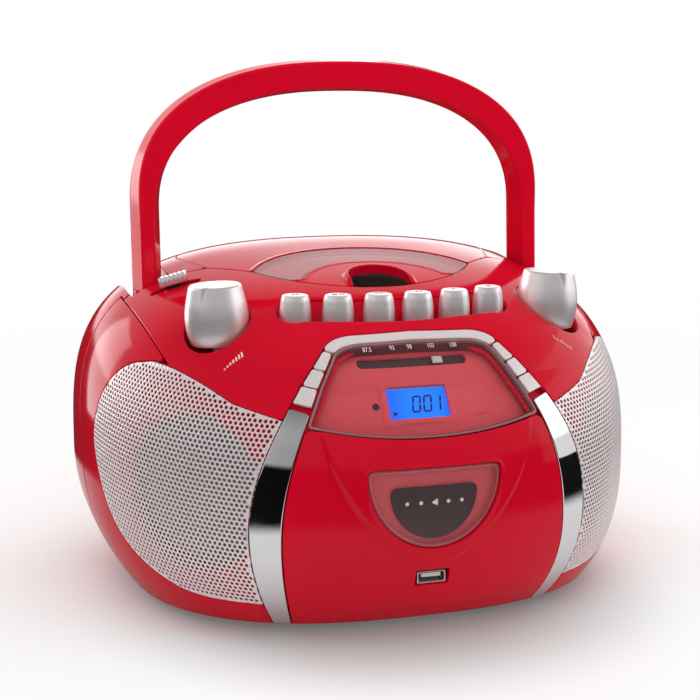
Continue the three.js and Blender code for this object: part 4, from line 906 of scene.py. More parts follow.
def turned(name, profile, normals, foot, axis, turns=64, shape=None):
    """A lathe-turned piece: a profile of radius and height, from the axis at the foot out, up and back to the axis,
    carried round it. Shape may scale the radius by the turn and height."""
    axis = np.array(axis, float) / np.linalg.norm(axis)
    first = np.cross((0.0, 1.0, 0.0) if abs(axis[1]) < 0.8 else (0.0, 0.0, 1.0), axis)
    first /= np.linalg.norm(first)
    second = np.cross(axis, first)
    a = np.linspace(0, 2 * math.pi, turns, endpoint=False)
    out = np.cos(a)[:, None] * first + np.sin(a)[:, None] * second
    rings, ring_normals = [], []
    for (r, h), (nr, nh) in zip(profile, normals):
        reach = max(r, 0.01) * (np.ones(turns) if shape is None else shape(a, h))
        rings.append(np.asarray(foot, float) + out * reach[:, None] + axis * h)
        ring_normals.append(out * nr + axis * nh)
    return ringed(name, rings[::-1], ring_normals[::-1])


rubber = mottled("foot_rubber", (0.016, 0.016, 0.017), (0.028, 0.028, 0.029), 80.0, 0.75, detail=3.0,
                 pits=(1200.0, 0.00004, 1.0))
foot_profile = softened([(0, 0), (7.4, 0), (8, 1.4), (8, 4.0), (0, 4.0)], [0, 0.8, 0.8, 0.1, 0])
for n, (x, y) in enumerate(((88, -60), (-88, -60), (88, 72), (-88, 72))):
    fit(turned(f"foot_{n + 1}", *foot_profile, (x, y, 0), (0, 0, 1), 40), "case", rubber, "red_shell")


# ---- Control panel ----
# A separate red moulding covers the front shoulder between the grilles and the disc lid. It has two round wells
# for the rotary knobs, a long tray for the six keys and a slot for the function slide on the left.
# Its edges are rolled like the cabinet's, so that a thin dark line shows where they meet.
KNOB_X, KNOB_Y, KNOB_TOP, KNOB_LEAN, KNOB_TALL = 91.4, -51.5, 170.6, math.radians(3), 30.1
KEY_PITCH, KEY_FOOT, TRAY_FLOOR = 20.9, 146.0, 138.4
key_x = (np.arange(6) - 2.5) * KEY_PITCH


def key_y(x):
    """Front-to-back place of the key row at x: it bows back by x squared over 320."""
    return -70 + x * x / 320


def key_tray_outline(extra=0.0):
    """The key tray's plan: the key row's bow moved 9.2 mm each way, with round ends."""
    reach = 2.5 * KEY_PITCH
    x = np.linspace(-reach, reach, 40)
    front = np.stack([x, key_y(x) - 9.2], 1)
    rear = np.stack([x, key_y(x) + 9.2], 1)[::-1]
    end = key_y(reach)
    return wider(np.concatenate([front[1:-1], arc_points((reach, end), 9.8, -86, 86, 18), rear[1:-1],
                                 arc_points((-reach, end), 9.8, 94, 266, 18)]), extra)


tray_shape = outline_field(key_tray_outline())
slide_middle = np.array((-101.5, 0.5, float(top_z(-101.5, 0.5))))
slide_plan = np.array((28.0, -9.0)) / math.hypot(28, 9)
slide_rise = float(top_z(*(slide_middle[:2] + slide_plan * 6)) - top_z(*(slide_middle[:2] - slide_plan * 6))) / 12
slide_along = np.array((*slide_plan, slide_rise)) / math.hypot(1, slide_rise)
slide_across = np.cross((0, 0, 1), slide_along)
slide_across /= np.linalg.norm(slide_across)
slide_up = np.cross(slide_along, slide_across)
KNOB_WELL = 17.4
KNOB_AXIS = {side: np.array((side * math.sin(KNOB_LEAN), 0, math.cos(KNOB_LEAN))) for side, _ in SIDES}
KNOB_FOOT = {side: np.array((side * KNOB_X, KNOB_Y, KNOB_TOP)) - KNOB_AXIS[side] * KNOB_TALL for side, _ in SIDES}


def knob_distance(p, side):
    """Distance from a rotary knob's axis."""
    q = p - KNOB_FOOT[side]
    along = q @ KNOB_AXIS[side]
    return np.linalg.norm(q - along[..., None] * KNOB_AXIS[side], axis=-1)


def slide_slot(p):
    """Inside the slot of the function slide: half lengths less the distances along and across it, with round
    ends."""
    q = p - slide_middle
    along, across = np.abs(q @ slide_along), np.abs(q @ slide_across)
    return 2.2 - np.hypot(np.maximum(along - 11.8, 0), across)


def panel_zone(p):
    """The control panel's share: between its seams, round the arch, the knob wells, the key tray and the slot."""
    x, y, z = parts(p)
    return least(panel_front_shape(x, z), panel_plan_shape(x, y), z - 100, -GAP - unit_zone(p),
                 knob_distance(p, 1) - KNOB_WELL, knob_distance(p, -1) - KNOB_WELL,
                 -0.2 - least(tray_shape(x, y), z - UPPER_Z), -slide_slot(p))


fit(moulded_panel("panel_shell", panel_zone, thickness=SKIN, roll=0.8, pitch=1.3), "case", red_plastic, "red_shell",
    "control_panel")

fit(tray("key_tray", key_tray_outline(-0.1), TRAY_FLOOR, lambda x, y: top_z(x, y) - 1.2, 1.3), "case", red_plastic,
    "red_shell")
for side, side_name in SIDES:
    centre, axis = KNOB_FOOT[side] - KNOB_AXIS[side] * 4, KNOB_AXIS[side]
    a = np.linspace(0, 2 * math.pi, 72, endpoint=False)
    first = np.cross((0, 1, 0), axis)
    out = np.cos(a)[:, None] * first + np.sin(a)[:, None] * np.cross(axis, first)
    rim = along_to_case(centre + out * 17.3, axis, 0.9)[:, None]
    rings = [centre + out * r + axis * h for r, h in ((0.3, 0), (3.2, 0), (15.6, 0), (16.7, 0.3), (17.2, 1.2))]
    rings += [centre + out * 17.3 + axis * rim, centre + out * 18.2 + axis * (rim + 0.02),
              centre + out * 18.9 + axis * (rim - 0.5), centre + out * 18.9 - axis * 1.8,
              centre + out * 0.3 - axis * 1.8]
    fit(ringed(side_name + "_knob_well", rings), "case", red_plastic, "red_shell")


# ---- Loudspeaker grilles ----
# Each is punched sheet steel, painted a pale pinkish silver and pressed to the case's curve. Round holes stand in
# staggered rows up to a thin folded rim, and the sheet drops into a recess of the front cabinet.
HOLE_PITCH, ROW_PITCH, HOLE_RADIUS, MESH_THICK, PINHOLE = 2.66, 2.32, 0.94, 0.45, 0.02
LIFTS, TURNS, CORNERS = 260, 500, 12
grille_metal, shader, place = material("grille_paint", 0.34, 0.55)
flecks = place.noise(1500.0, 2.0).between(0.3, 0.7)
drive(shader, "Base Color", flecks.blend((0.90, 0.79, 0.80), (0.97, 0.87, 0.88)))
drive(shader, "Roughness", place.noise(120.0, 3.0).between(0.25, 0.75, 0.28, 0.42))
bumped(shader, place.noise(2400.0), 0.00002, 0.6)
bed_black = mottled("dark_foam", (0.010, 0.008, 0.008), (0.020, 0.017, 0.017), 260.0, 0.6, detail=3.0)

chart_lift = np.linspace(-0.9, 1.2, LIFTS)
middle_turn = math.radians(46)
up_line = case_chart(np.full(LIFTS, middle_turn), chart_lift)
up_length = np.concatenate([[0], np.cumsum(np.linalg.norm(np.diff(up_line, axis=0), axis=1))])
up_length -= np.interp(0, chart_lift, up_length)
turn_line = np.radians(np.linspace(-5, 110, TURNS))
turn_grid, lift_grid = np.meshgrid(turn_line, chart_lift, indexing="ij")
across_points = case_chart(turn_grid, lift_grid)
across_length = np.concatenate([np.zeros((1, LIFTS)),
                                np.cumsum(np.linalg.norm(np.diff(across_points, axis=0), axis=2), axis=0)])
across_length -= [np.interp(middle_turn, turn_line, column) for column in across_length.T]
sheet_s = np.linspace(-130, 130, 521)
turn_of_s = np.stack([np.interp(sheet_s, column, turn_line) for column in across_length.T], 1)


def sheet_point(s, t):
    """A point of the case's right front from the length t up it and the length s across it, both along the surface.
    Turn is read from a table of lengths, between its four nearest entries."""
    lift = np.interp(t, up_length, chart_lift)
    i = np.clip((s - sheet_s[0]) / (sheet_s[1] - sheet_s[0]), 0, len(sheet_s) - 1.001)
    j = np.clip((lift - chart_lift[0]) / (chart_lift[1] - chart_lift[0]), 0, LIFTS - 1.001)
    i0, j0 = i.astype(int), j.astype(int)
    a, b = i - i0, j - j0
    turn = ((turn_of_s[i0, j0] * (1 - a) + turn_of_s[i0 + 1, j0] * a) * (1 - b)
            + (turn_of_s[i0, j0 + 1] * (1 - a) + turn_of_s[i0 + 1, j0 + 1] * a) * b)
    return case_chart(turn, lift)


# Each hole stands in the middle of a six-sided cell, so that the cells fill the sheet without a gap. A cell at the
# outline is drawn inwards until it meets the rim, and it keeps only a pinhole where there's no room for a whole one.
row, column = np.meshgrid(np.arange(-45, 46), np.arange(-50, 51), indexing="ij")
hole_s = (column + 0.5 * (row % 2)) * HOLE_PITCH
hole_t = row * ROW_PITCH
centres = sheet_point(hole_s.ravel(), hole_t.ravel())
room = mesh_zone(centres)
held = room > -0.8
hole_s, hole_t = hole_s.ravel()[held], hole_t.ravel()[held]
bored = np.where(room[held] > 1.3, HOLE_RADIUS, PINHOLE)[:, None]
j = np.arange(CORNERS)
spoke = np.radians(j * 360.0 / CORNERS)
cell = np.where(j % 2 == 1, HOLE_PITCH / math.sqrt(3), HOLE_PITCH / 2) + 0 * bored
row_share = ROW_PITCH / (HOLE_PITCH * math.sqrt(3) / 2)
cell_s = hole_s[:, None, None] + np.stack([np.cos(spoke) * cell, np.cos(spoke) * bored], 1)
cell_t = hole_t[:, None, None] + np.stack([np.sin(spoke) * cell * row_share, np.sin(spoke) * bored], 1)
for _ in range(3):
    zone = mesh_zone(sheet_point(cell_s, cell_t))
    slope_s = (mesh_zone(sheet_point(cell_s + 0.2, cell_t)) - zone) / 0.2
    slope_t = (mesh_zone(sheet_point(cell_s, cell_t + 0.2)) - zone) / 0.2
    step = np.minimum(zone - 0.15, 0) / (slope_s ** 2 + slope_t ** 2 + 0.01)
    cell_s, cell_t = cell_s - step * slope_s, cell_t - step * slope_t
top = sheet_point(cell_s, cell_t)
up = case_normal(top)
rings = np.stack([top[:, 0], top[:, 1], top[:, 1] - up[:, 1] * MESH_THICK, top[:, 0] - up[:, 0] * MESH_THICK], 1)
inward = top[:, 0] - top[:, 1]
inward /= np.linalg.norm(inward, axis=-1, keepdims=True) + 1e-9
ring_normals = np.stack([up[:, 0], up[:, 1] * 0.86 - inward * 0.5, -inward, -up[:, 0]], 1)
cell_faces = grid_faces(4, CORNERS, False, True)
sheet_faces = (cell_faces[None] + np.arange(len(hole_s))[:, None, None] * 4 * CORNERS).reshape(-1, 4)
for side, side_name in SIDES:
    flip = np.array((side, 1, 1))
    sheet = mesh_piece(side_name + "_grille_sheet", rings.reshape(-1, 3) * flip, [sheet_faces[:, ::side]],
                       ring_normals.reshape(-1, 3) * flip)
    fit(sheet, "case", grille_metal, "grille_metal", side_name + "_grille")

    def margin_zone(p):
        """The grille's folded rim: the opening's outline less the same outline drawn in."""
        zone = mesh_zone(p)
        return least(zone, 0.95 - zone, p[..., 0] * side)

    margin = moulded_panel(side_name + "_grille_margin", margin_zone, thickness=1.2, roll=0.3, sink=-0.05,
                           pitch=0.8)
    fit(margin, "case", grille_metal, "grille_metal")


# ---- Chrome strips, silver arch and disc buttons ----
# Two strips of chromed plastic frame the front, and over them an arch in satin silver runs round the display.
# Three small satin buttons on each side work the disc player: each is a wedge that presses straight back.
chrome, shader, place = material("chrome_plate", 0.04, 1.0)
drive(shader, "Base Color", place.noise(40.0).blend((0.86, 0.85, 0.86), (0.90, 0.89, 0.90)))
drive(shader, "Roughness", place.noise(200.0, 3.0).between(0.3, 0.7, 0.03, 0.06))
bumped(shader, place.noise(55.0, 1.0), 0.00002, 0.4)
satin, shader, place = material("satin_silver_paint", 0.36, 0.35)
drive(shader, "Base Color", place.noise(2600.0, 2.0).blend((0.80, 0.71, 0.71), (0.90, 0.81, 0.81)))
drive(shader, "Roughness", place.noise(300.0, 2.0).between(0.2, 0.8, 0.3, 0.42))
bumped(shader, place.noise(3000.0), 0.00001, 0.6)


def button_edge(i):
    """The upper edge of disc button i: its points on the inner and outer strip lines."""
    inner, outer = 140.1 - 7.75 * i, 141.3 - 7.45 * i
    return (float(strip_inner(inner)) + GAP, inner), (float(strip_outer(outer)), outer)


low_z = np.linspace(-20, 116.6, 50)
inner_z = np.linspace(114, -20, 50)
strip_shape = outline_field([*np.stack([strip_outer(low_z), low_z], 1),
                             *np.stack([strip_inner(inner_z) + GAP, inner_z], 1)])
display_z = np.linspace(108.8, 139, 24)
display_end = (float(strip_inner(139)) - 2 * GAP, 139.0)
display_top = arch_top - arch_band
display_x = np.linspace(0, float(strip_inner(107.8)) - 2, 24)
display_outline = symmetric([*np.stack([display_x, 101.5 + display_x ** 2 / 560], 1),
                             *np.stack([strip_inner(display_z) - 2 * GAP, display_z], 1),
                             *bend(display_end, (display_end[0] - 3.6, display_top - 1.2), (26, display_top - 0.7),
                                   12)[1:], (0, display_top)])
display_shape = outline_field(display_outline)
(ax, az), (bx, bz) = button_edge(0)
rake = (bz - az) / (bx - ax)


def arch_zone(p):
    """The silver arch: the centre unit's outline less the display's, above the top buttons."""
    x, y, z = parts(p)
    above = (z - az - 0.55 - rake * (np.abs(x) - ax)) / math.hypot(1, rake)
    return least(unit_zone(p), -GAP - display_shape(x, z), above, -1.6 - least(tray_shape(x, y), z - UPPER_Z))


fit(moulded_panel("silver_arch", arch_zone, pitch=0.8, roll=0.6), "case", satin, "satin_silver", "trim_arch")
for side, side_name in SIDES:
    def strip_zone(p):
        """One chrome strip, on its own side and above the base."""
        x, y, z = parts(p)
        return least(strip_shape(x * side, z), FACE_Y - y, z - BASE_HEIGHT - GAP)

    fit(moulded_panel(side_name + "_chrome_strip", strip_zone, pitch=0.9, roll=0.6), "case", chrome,
        "mirror_chrome", side_name + "_trim_strip")
    for n in range(3):
        (a, b), (c, d) = button_edge(n), button_edge(n + 1)
        button_zone = seen_from_front(outline_field([c, d, b, a]), GAP * 0.9, side)
        fit(moulded_panel(f"{side_name}_button_{n + 1}", button_zone, pitch=0.6, roll=0.4, thickness=2.2,
                          sink=-0.1), f"{side_name}_disc_button_{n + 1}_body", satin, "satin_silver",
            f"{side_name}_disc_button_{n + 1}")
    (a, b), (c, d) = button_edge(0), button_edge(3)
    bed_zone = seen_from_front(outline_field([c, d, b, a]), -0.6, side)
    fit(moulded_panel(side_name + "_button_bed", bed_zone, pitch=0.9, roll=0.2, sink=4.4, thickness=0.6), "case",
        bed_black, "black_plastic")


# ---- Display ----
# A domed pane of clear smoked acrylic lies under the arch. Its skirt, in the same smoke, runs back to a red bezel
# that holds the dial slot and the backlit liquid crystal cell. The dial's numbers are printed inside the pane.
def step_between(value, low, high):
    """A smooth step of a value from 0 at low to 1 at high."""
    t = np.clip((value - low) / (high - low), 0, 1)
    return t * t * (3 - 2 * t)


def clear_smoke(name, haze_and_sheen, tint, body, rim_from, rim_to):
    """Clear acrylic with a pale hazy cover that is partly real and partly a painted reflection: mostly see-through,
    denser towards its edge, with more of the pale cover painted where it is seen at a slant as a stand-in sheen, and
    with fine polish marks in its gloss."""
    made, shader, place = material(name, 0.04, gloss=0.5)
    rim = place.node("ShaderNodeAttribute", {"attribute_name": "rim_room"}, output=2)
    # Painted sheen: the pale cover thickens where the pane is seen at a slant.
    aslant_sheen = place.node("ShaderNodeLayerWeight", {}, {"Blend": 0.35}, output=1)
    edge = rim.between(rim_from, rim_to, 1.0, 0.0)
    drive(shader, "Base Color", edge.blend(haze_and_sheen, tint))
    cover = (edge * (0.82 - body) + body + aslant_sheen * aslant_sheen * 0.12).maths("MINIMUM", 1.0)
    drive(shader, "Alpha", cover)
    drive(shader, "Roughness", place.noise(160.0, 3.0).between(0.3, 0.7, 0.02, 0.06))
    return made


pane = clear_smoke("display_smoke", (0.80, 0.45, 0.48), (0.34, 0.14, 0.155), 0.012, 0.6, 1.5)
skirt_smoke = mottled("skirt_smoke", (0.085, 0.018, 0.020), (0.125, 0.032, 0.035), 180.0, 0.12, gloss=0.4)


display_zone = seen_from_front(display_shape)


def skirt_zone(p):
    """The window's skirt: a band 1.3 mm wide just inside its outline."""
    zone = display_zone(p)
    return least(zone - 0.25, 1.6 - zone)


fit(moulded_panel("display_pane", display_zone, pitch=1.1, roll=0.5, sink=0.35, thickness=1.7), "case", pane,
    "smoke_window", "display_window")
fit(moulded_panel("display_skirt", skirt_zone, pitch=0.8, roll=0.15, sink=2.2, thickness=5.2), "case", skirt_smoke,
    "smoke_window")

BEZEL_SINK, DIAL_Z = 7.3, 138.8
lcd_foot = np.array((-2.0, float(front_y(-2.0, 119.6)), 119.6))
lcd_out = case_normal(lcd_foot[None])[0]
lcd_up = np.cross(lcd_out, (1.0, 0, 0))
lcd_up = lcd_up if lcd_up[2] > 0 else -lcd_up


def lcd_frame(p):
    """Places across and up the liquid crystal cell's face, and out of it."""
    q = p - lcd_foot
    return q[..., 0], q @ lcd_up, q @ lcd_out


def rounded_box(a, b, half_a, half_b, radius):
    """Signed distance inside a rectangle with round corners."""
    qa, qb = np.abs(a) - half_a + radius, np.abs(b) - half_b + radius
    return radius - np.hypot(np.maximum(qa, 0), np.maximum(qb, 0)) - np.minimum(np.maximum(qa, qb), 0)


def bezel_zone(p):
    """The bezel's share: the display's outline and a ledge round it, less the cell's opening, the dial slot and the
    key tray."""
    x, y, z = parts(p)
    a, b, _ = lcd_frame(p)
    slot = rounded_box(x, z - DIAL_Z, 29.5, 2.4, 2.3)
    return least(display_shape(x, z) + 2.6, FACE_Y - y, z - 103.0 - x * x / 560, -rounded_box(a, b, 15.8, 8.7, 0.6),
                 -slot, -2.2 - least(tray_shape(x, y), z - UPPER_Z))


def bezel_relief(p):
    """The bezel's relief: a raised frame 3 mm wide round the cell and a faint raised field at its right."""
    a, b, _ = lcd_frame(p)
    around = rounded_box(a, b, 19.3, 12.0, 1.2)
    field = rounded_box(a - 33.5, b, 9.5, 8.0, 3.0)
    return 0.9 * step_between(around, -0.8, 0.4) + 0.35 * step_between(field, -0.5, 0.5)


bezel_red = glossy_plastic("bezel_red", (0.64, 0.075, 0.092), (0.58, 0.062, 0.078), 0.3)
fit(moulded_panel("bezel_panel", bezel_zone, pitch=1.0, roll=0.4, sink=BEZEL_SINK, thickness=2.0,
                  relief=bezel_relief), "case", bezel_red, "red_shell", "display_bezel")


def facing_plate(name, shapes, centre, across, up, out, lift, thickness):
    """Flat raised shapes on a plane: each outline is carried out by the thickness and closed with a fan in front
    and behind."""
    points, faces, count = [], [], 0
    for shape in shapes:
        shape = np.asarray(shape, float)
        n = len(shape)
        flat = centre + shape[:, :1] * across + shape[:, 1:] * up
        middle = flat.mean(0)
        points += [flat + out * (lift + thickness), flat + out * lift,
                   middle[None] + out * (lift + thickness), middle[None] + out * lift]
        j = np.arange(n)
        k = (j + 1) % n
        threes = ((np.full(n, 2 * n), j, k), (np.full(n, 2 * n + 1), n + k, n + j), (j, n + j, n + k), (j, n + k, k))
        faces += [np.stack(three, 1) + count for three in threes]
        count += 2 * n + 2
    return mesh_piece(name, np.concatenate(points), faces, smooth=False)


def rounded_outline(half_a, half_b, radius, steps=6):
    """An anticlockwise rectangle with round corners: four quarter circles about its inner corners."""
    corners = [((half_a - radius) * sa, (half_b - radius) * sb) for sa, sb in ((1, -1), (1, 1), (-1, 1), (-1, -1))]
    return np.concatenate([arc_points(c, radius, -90 + 90 * k, 90 * k, steps) for k, c in enumerate(corners)])


across_way = np.array((1.0, 0, 0))
lcd_blue, shader, place = material("lcd_backlight", 0.12)
a_place = place.axis(0)
glow = (a_place * a_place) * 1500.0
blue = glow.between(0.0, 0.36).blend((0.001, 0.16, 1.0), (0.001, 0.11, 0.86))
drive(shader, "Base Color", blue)
drive(shader, "Emission Color", blue)
shader.inputs["Emission Strength"].default_value = 0.62
face = facing_plate("lcd_face", [rounded_outline(15.5, 8.4, 0.3)], lcd_foot, across_way, lcd_up, lcd_out,
                    -BEZEL_SINK - 1.2, 0.6)
fit(face, "case", lcd_blue, "blue_display", "lcd_module")
pale_frame = mottled("lcd_frame_film", (0.30, 0.45, 0.72), (0.36, 0.52, 0.80), 300.0, 0.4)
backing = facing_plate("lcd_backing", [rounded_outline(17.5, 10.4, 0.5)], lcd_foot, across_way, lcd_up, lcd_out,
                       -BEZEL_SINK - 6.2, 4.9)
fit(backing, "case", pale_frame, "blue_display")


def segment_bars(digit, left, width, height, thick):
    """The lit bars of a seven-segment digit: each is a bar with slanted ends between two of its six corner
    points."""
    slant = 0.08 * height
    top, middle, low = height / 2, 0.0, -height / 2
    ends = {"a": ((0, top), (width, top)), "b": ((width, top), (width, middle)),
            "c": ((width, middle), (width, low)), "d": ((0, low), (width, low)), "e": ((0, middle), (0, low)),
            "f": ((0, top), (0, middle)), "g": ((0, middle), (width, middle))}
    bars = []
    for bar in {0: "abcdef", 1: "bc", 2: "abged"}[digit]:
        p, q = (np.array(e, float) for e in ends[bar])
        way = (q - p) / np.linalg.norm(q - p)
        side = np.array((-way[1], way[0])) * thick / 2
        p, q = p + way * thick * 0.55, q - way * thick * 0.55
        hexagon = np.array([p - way * thick / 2, p - side, q - side, q + way * thick / 2, q + side, p + side])
        hexagon[:, 0] += left + hexagon[:, 1] / height * slant * 2
        bars.append(hexagon)
    return bars


digits = [hexagon for n, left in ((0, -2.6), (0, 3.2), (1, 8.0))
          for hexagon in segment_bars(n, left, 3.7, 8.2, 1.0)]
arrow = [np.array([(-13.4, -5.9), (-10.9, -4.6), (-13.4, -3.3)])]
lcd_ink = mottled("lcd_dark_segment", (0.002, 0.010, 0.09), (0.004, 0.016, 0.12), 500.0, 0.3)
fit(facing_plate("lcd_digits", digits + arrow, lcd_foot, across_way, lcd_up, lcd_out, -BEZEL_SINK - 0.6, 0.06),
    "case", lcd_ink, "blue_display")
sensor = arc_points((0, 0), 1.75, 0, 345, 23)
sensor_at = onto_case(np.array([(-24.3, float(front_y(-24.3, 119.0)), 119.0)]))[0]
sensor_out = case_normal(sensor_at[None])[0]
sensor_across = np.cross(lcd_up, sensor_out)
dark_lens = mottled("remote_sensor", (0.03, 0.012, 0.014), (0.05, 0.02, 0.022), 300.0, 0.2)
fit(facing_plate("remote_sensor", [sensor], sensor_at, sensor_across / np.linalg.norm(sensor_across), lcd_up,
                 sensor_out, -BEZEL_SINK, 0.25), "case", dark_lens, "smoke_window")

dial_dark = mottled("dial_slot_lining", (0.055, 0.035, 0.037), (0.08, 0.05, 0.052), 200.0, 0.5)


def dial_zone(p):
    """The dial slot's dark lining: the slot and a margin of 2 mm."""
    x, y, z = parts(p)
    return least(rounded_box(x, z - DIAL_Z, 31.5, 4.4, 2.3), FACE_Y - y,
                 -2.2 - least(tray_shape(x, y), z - UPPER_Z))


fit(moulded_panel("dial_lining", dial_zone, pitch=1.0, roll=0.2, sink=BEZEL_SINK + 2.3, thickness=0.8), "case",
    dial_dark, "black_plastic")


def grooved(name, half_across, half_up, depth, ribs, centre, across, up, out, groove=0.35):
    """A small rounded block with ribs across its face: its face height falls by a groove's depth as a cosine of the
    place along it, and its edges turn over."""
    u = np.linspace(-1, 1, ribs * 8 + 1)
    v = np.linspace(-1, 1, 13)
    uu, vv = np.meshgrid(u, v, indexing="ij")
    edge = np.clip((1 - np.maximum(np.abs(uu), np.abs(vv))) / 0.12, 0, 1)
    ridge = groove * (0.5 + 0.5 * np.cos(uu * ribs * math.pi)) * (edge > 0.5)
    height = depth - 0.5 * (1 - np.sqrt(1 - (1 - edge) ** 2)) - ridge
    flat = centre + (uu * half_across)[..., None] * across + (vv * half_up)[..., None] * up
    front = flat + height[..., None] * out
    border = np.concatenate([front[:-1, 0], front[-1, :-1], front[:0:-1, -1], front[0, :0:-1]])
    n, m = len(u), len(v)
    at = np.arange(n * m).reshape(n, m)
    loop = np.concatenate([at[:-1, 0], at[-1, :-1], at[:0:-1, -1], at[0, :0:-1]])
    low = border - ((border - centre) @ out)[:, None] * out
    points = np.concatenate([front.reshape(-1, 3), low, low.mean(0, keepdims=True)])
    j = np.arange(len(loop))
    k = (j + 1) % len(loop)
    base = n * m
    faces = [grid_faces(n, m)[:, ::-1], np.stack([loop[j], base + j, base + k, loop[k]], 1),
             np.stack([base + j, np.full(len(j), base + len(j)), base + k], 1)]
    return mesh_piece(name, points, faces)


pale_plastic = mottled("pale_plastic", (0.58, 0.50, 0.49), (0.68, 0.60, 0.59), 240.0, 0.4)
pointer_at = np.array((13.0, float(front_y(13.0, DIAL_Z)), DIAL_Z))
pointer_out = case_normal(pointer_at[None])[0]
pointer_up = np.cross(pointer_out, (1.0, 0, 0))
pointer_up = pointer_up / np.linalg.norm(pointer_up) * np.sign(pointer_up[2])
fit(grooved("dial_pointer_block", 2.6, 1.9, 1.6, 4, pointer_at - pointer_out * (BEZEL_SINK + 0.4), across_way,
            pointer_up, pointer_out), "pointer_body", pale_plastic, "pale_plastic", "dial_pointer")


def print_on(name, words, height, place_of, lift):
    """Printed figures as flat sheets: each word's filled outlines lie round its own middle, and place_of carries a
    point of the flat print onto the surface."""
    points, faces, count = [], [], 0
    for text, middle in words:
        curve = bpy.data.curves.new("print", "FONT")
        curve.body, curve.size, curve.align_x, curve.align_y = text, height, "CENTER", "CENTER"
        curve.resolution_u = 3
        holder = bpy.data.objects.new("print", curve)
        scene.collection.objects.link(holder)
        flat = bpy.data.meshes.new_from_object(holder.evaluated_get(bpy.context.evaluated_depsgraph_get()))
        bpy.data.objects.remove(holder)
        co = np.zeros(len(flat.vertices) * 3)
        flat.vertices.foreach_get("co", co)
        co = co.reshape(-1, 3)
        flat.calc_loop_triangles()
        tri = np.zeros(len(flat.loop_triangles) * 3, np.int32)
        flat.loop_triangles.foreach_get("vertices", tri)
        points.append(place_of(co[:, 0] + middle[0], co[:, 1] + middle[1], lift))
        faces.append(tri.reshape(-1, 3) + count)
        count += len(co)
    return mesh_piece(name, np.concatenate(points), faces, smooth=False)


def on_front(a, b, lift, inset=0.0):
    """The front surface at a across and b up, moved out along its normal."""
    p = np.stack([a, front_y(a, b), b], -1)
    return p + case_normal(p) * (lift - inset)


ink_white = mottled("print_ink", (0.68, 0.58, 0.57), (0.82, 0.74, 0.73), 700.0, 0.5)
dial_words = [("87.5", (-24.5, 141.2)), ("93", (-11.7, 141.6)), ("98", (-2.6, 141.7)), ("103", (8.6, 141.7)),
              ("108", (20.6, 141.4))]
fit(print_on("dial_numbers", dial_words, 2.7, lambda a, b, lift: on_front(a, b, lift, 0.3), 0.05), "case",
    ink_white, "pale_plastic")


# ---- Tape door ----
# The door is one red moulding, hinged at its foot, with a raised field inside a U-shaped crease. A half-moon window
# of the same smoked acrylic is let into it with a printed dark label behind, and a metal socket shows in a cut below.
DOOR_WINDOW, SOCKET_Z = (34.0, 87.5, 39.5), 31.1


def half_moon(half_width, top, drop, steps=24):
    """A straight top with round corners over half an ellipse: right half from the bottom up."""
    bowl = arc_points((0, 0), 1, -90, 0, steps) * (half_width, drop - 3) + (0, top - 3)
    bowl[0, 0] = 0
    return symmetric([*bowl, *bend(bowl[-1], (half_width, top), (half_width - 5, top), 6)[1:], (0, top)])


moon_shape = outline_field(half_moon(*DOOR_WINDOW))
door_z = np.linspace(-20, 105, 50)
door_x = np.linspace(float(strip_inner(106)) - 3, 0, 24)
door_shape = outline_field(symmetric([*np.stack([strip_inner(door_z) - GAP, door_z], 1),
                                      *np.stack([door_x, 101.5 + door_x ** 2 / 560 - 2 * GAP], 1)]))


def door_zone(p):
    """The tape door's share: its outline less the window and the cut for the socket."""
    x, y, z = parts(p)
    return least(door_shape(x, z), FACE_Y - y, z - BASE_HEIGHT - 2 * GAP, -GAP - moon_shape(x, z),
                 -rounded_box(x, z - SOCKET_Z, 8.7, 4.3, 1.0))


def door_relief(p):
    """The door's relief: a field raised 1.7 mm inside half a superellipse of power 1.55, with a 2.8 mm ramp that
    fades out near the foot, and a soft raised lip round the window."""
    x, y, z = parts(p)
    reach = ((np.abs(x) / 54.0) ** 1.55 + (np.abs(np.minimum(z - 106, 0)) / 68.0) ** 1.55) ** (1 / 1.55)
    field = step_between((1 - reach) * 60, -1.5, 1.3) * step_between(z, 30, 54)
    lip = 0.35 * step_between(moon_shape(x, z), -2.2, -0.8)
    return 1.7 * field + lip


door_shell = moulded_panel("door_shell", door_zone, pitch=1.0, roll=0.7, thickness=SKIN, relief=door_relief)
fit(door_shell, "door_body", red_plastic, "red_shell", "cassette_door")
door_pane = clear_smoke("door_smoke", (0.80, 0.45, 0.48), (0.40, 0.06, 0.075), 0.03, 0.7, 1.8)


fit(moulded_panel("door_window_pane", seen_from_front(moon_shape), pitch=0.9, roll=0.45, sink=-0.55, thickness=2.0),
    "door_body", door_pane, "smoke_window", "cassette_door_window")
label_shape = outline_field(half_moon(22.5, 78.4, 26.5))

label_black = mottled("label_print", (0.012, 0.009, 0.010), (0.018, 0.014, 0.015), 260.0, 0.35)
fit(moulded_panel("door_label", seen_from_front(label_shape), pitch=0.9, roll=0.1, sink=1.7, thickness=0.4),
    "door_body", label_black, "black_plastic")
backing_red = mottled("window_backing", (0.56, 0.062, 0.075), (0.62, 0.072, 0.088), 120.0, 0.35)

fit(moulded_panel("window_backing", seen_from_front(moon_shape, -1.6), pitch=1.1, roll=0.1, sink=3.2,
                  thickness=0.5), "door_body", backing_red, "red_shell")
dots = [arc_points((x, 70.2), 0.95, 0, 345, 15) for x in (-14.2, -7.1, 7.1, 14.2)]
marks = dots + [np.array([(-1.7, 70.2), (1.5, 68.4), (1.5, 72.0)])]


def printed_shapes(name, shapes, place_of, lift=0.06):
    """Flat printed shapes on a surface: place_of carries each outline onto it, and a fan from its middle
    fills it."""
    points, faces, count = [], [], 0
    for shape in shapes:
        rim = place_of(shape[:, 0], shape[:, 1], lift)
        points += [rim, rim.mean(0, keepdims=True)]
        j = np.arange(len(shape))
        faces.append(np.stack([j, (j + 1) % len(j), np.full(len(j), len(j))], 1) + count)
        count += len(shape) + 1
    return mesh_piece(name, np.concatenate(points), faces, smooth=False)


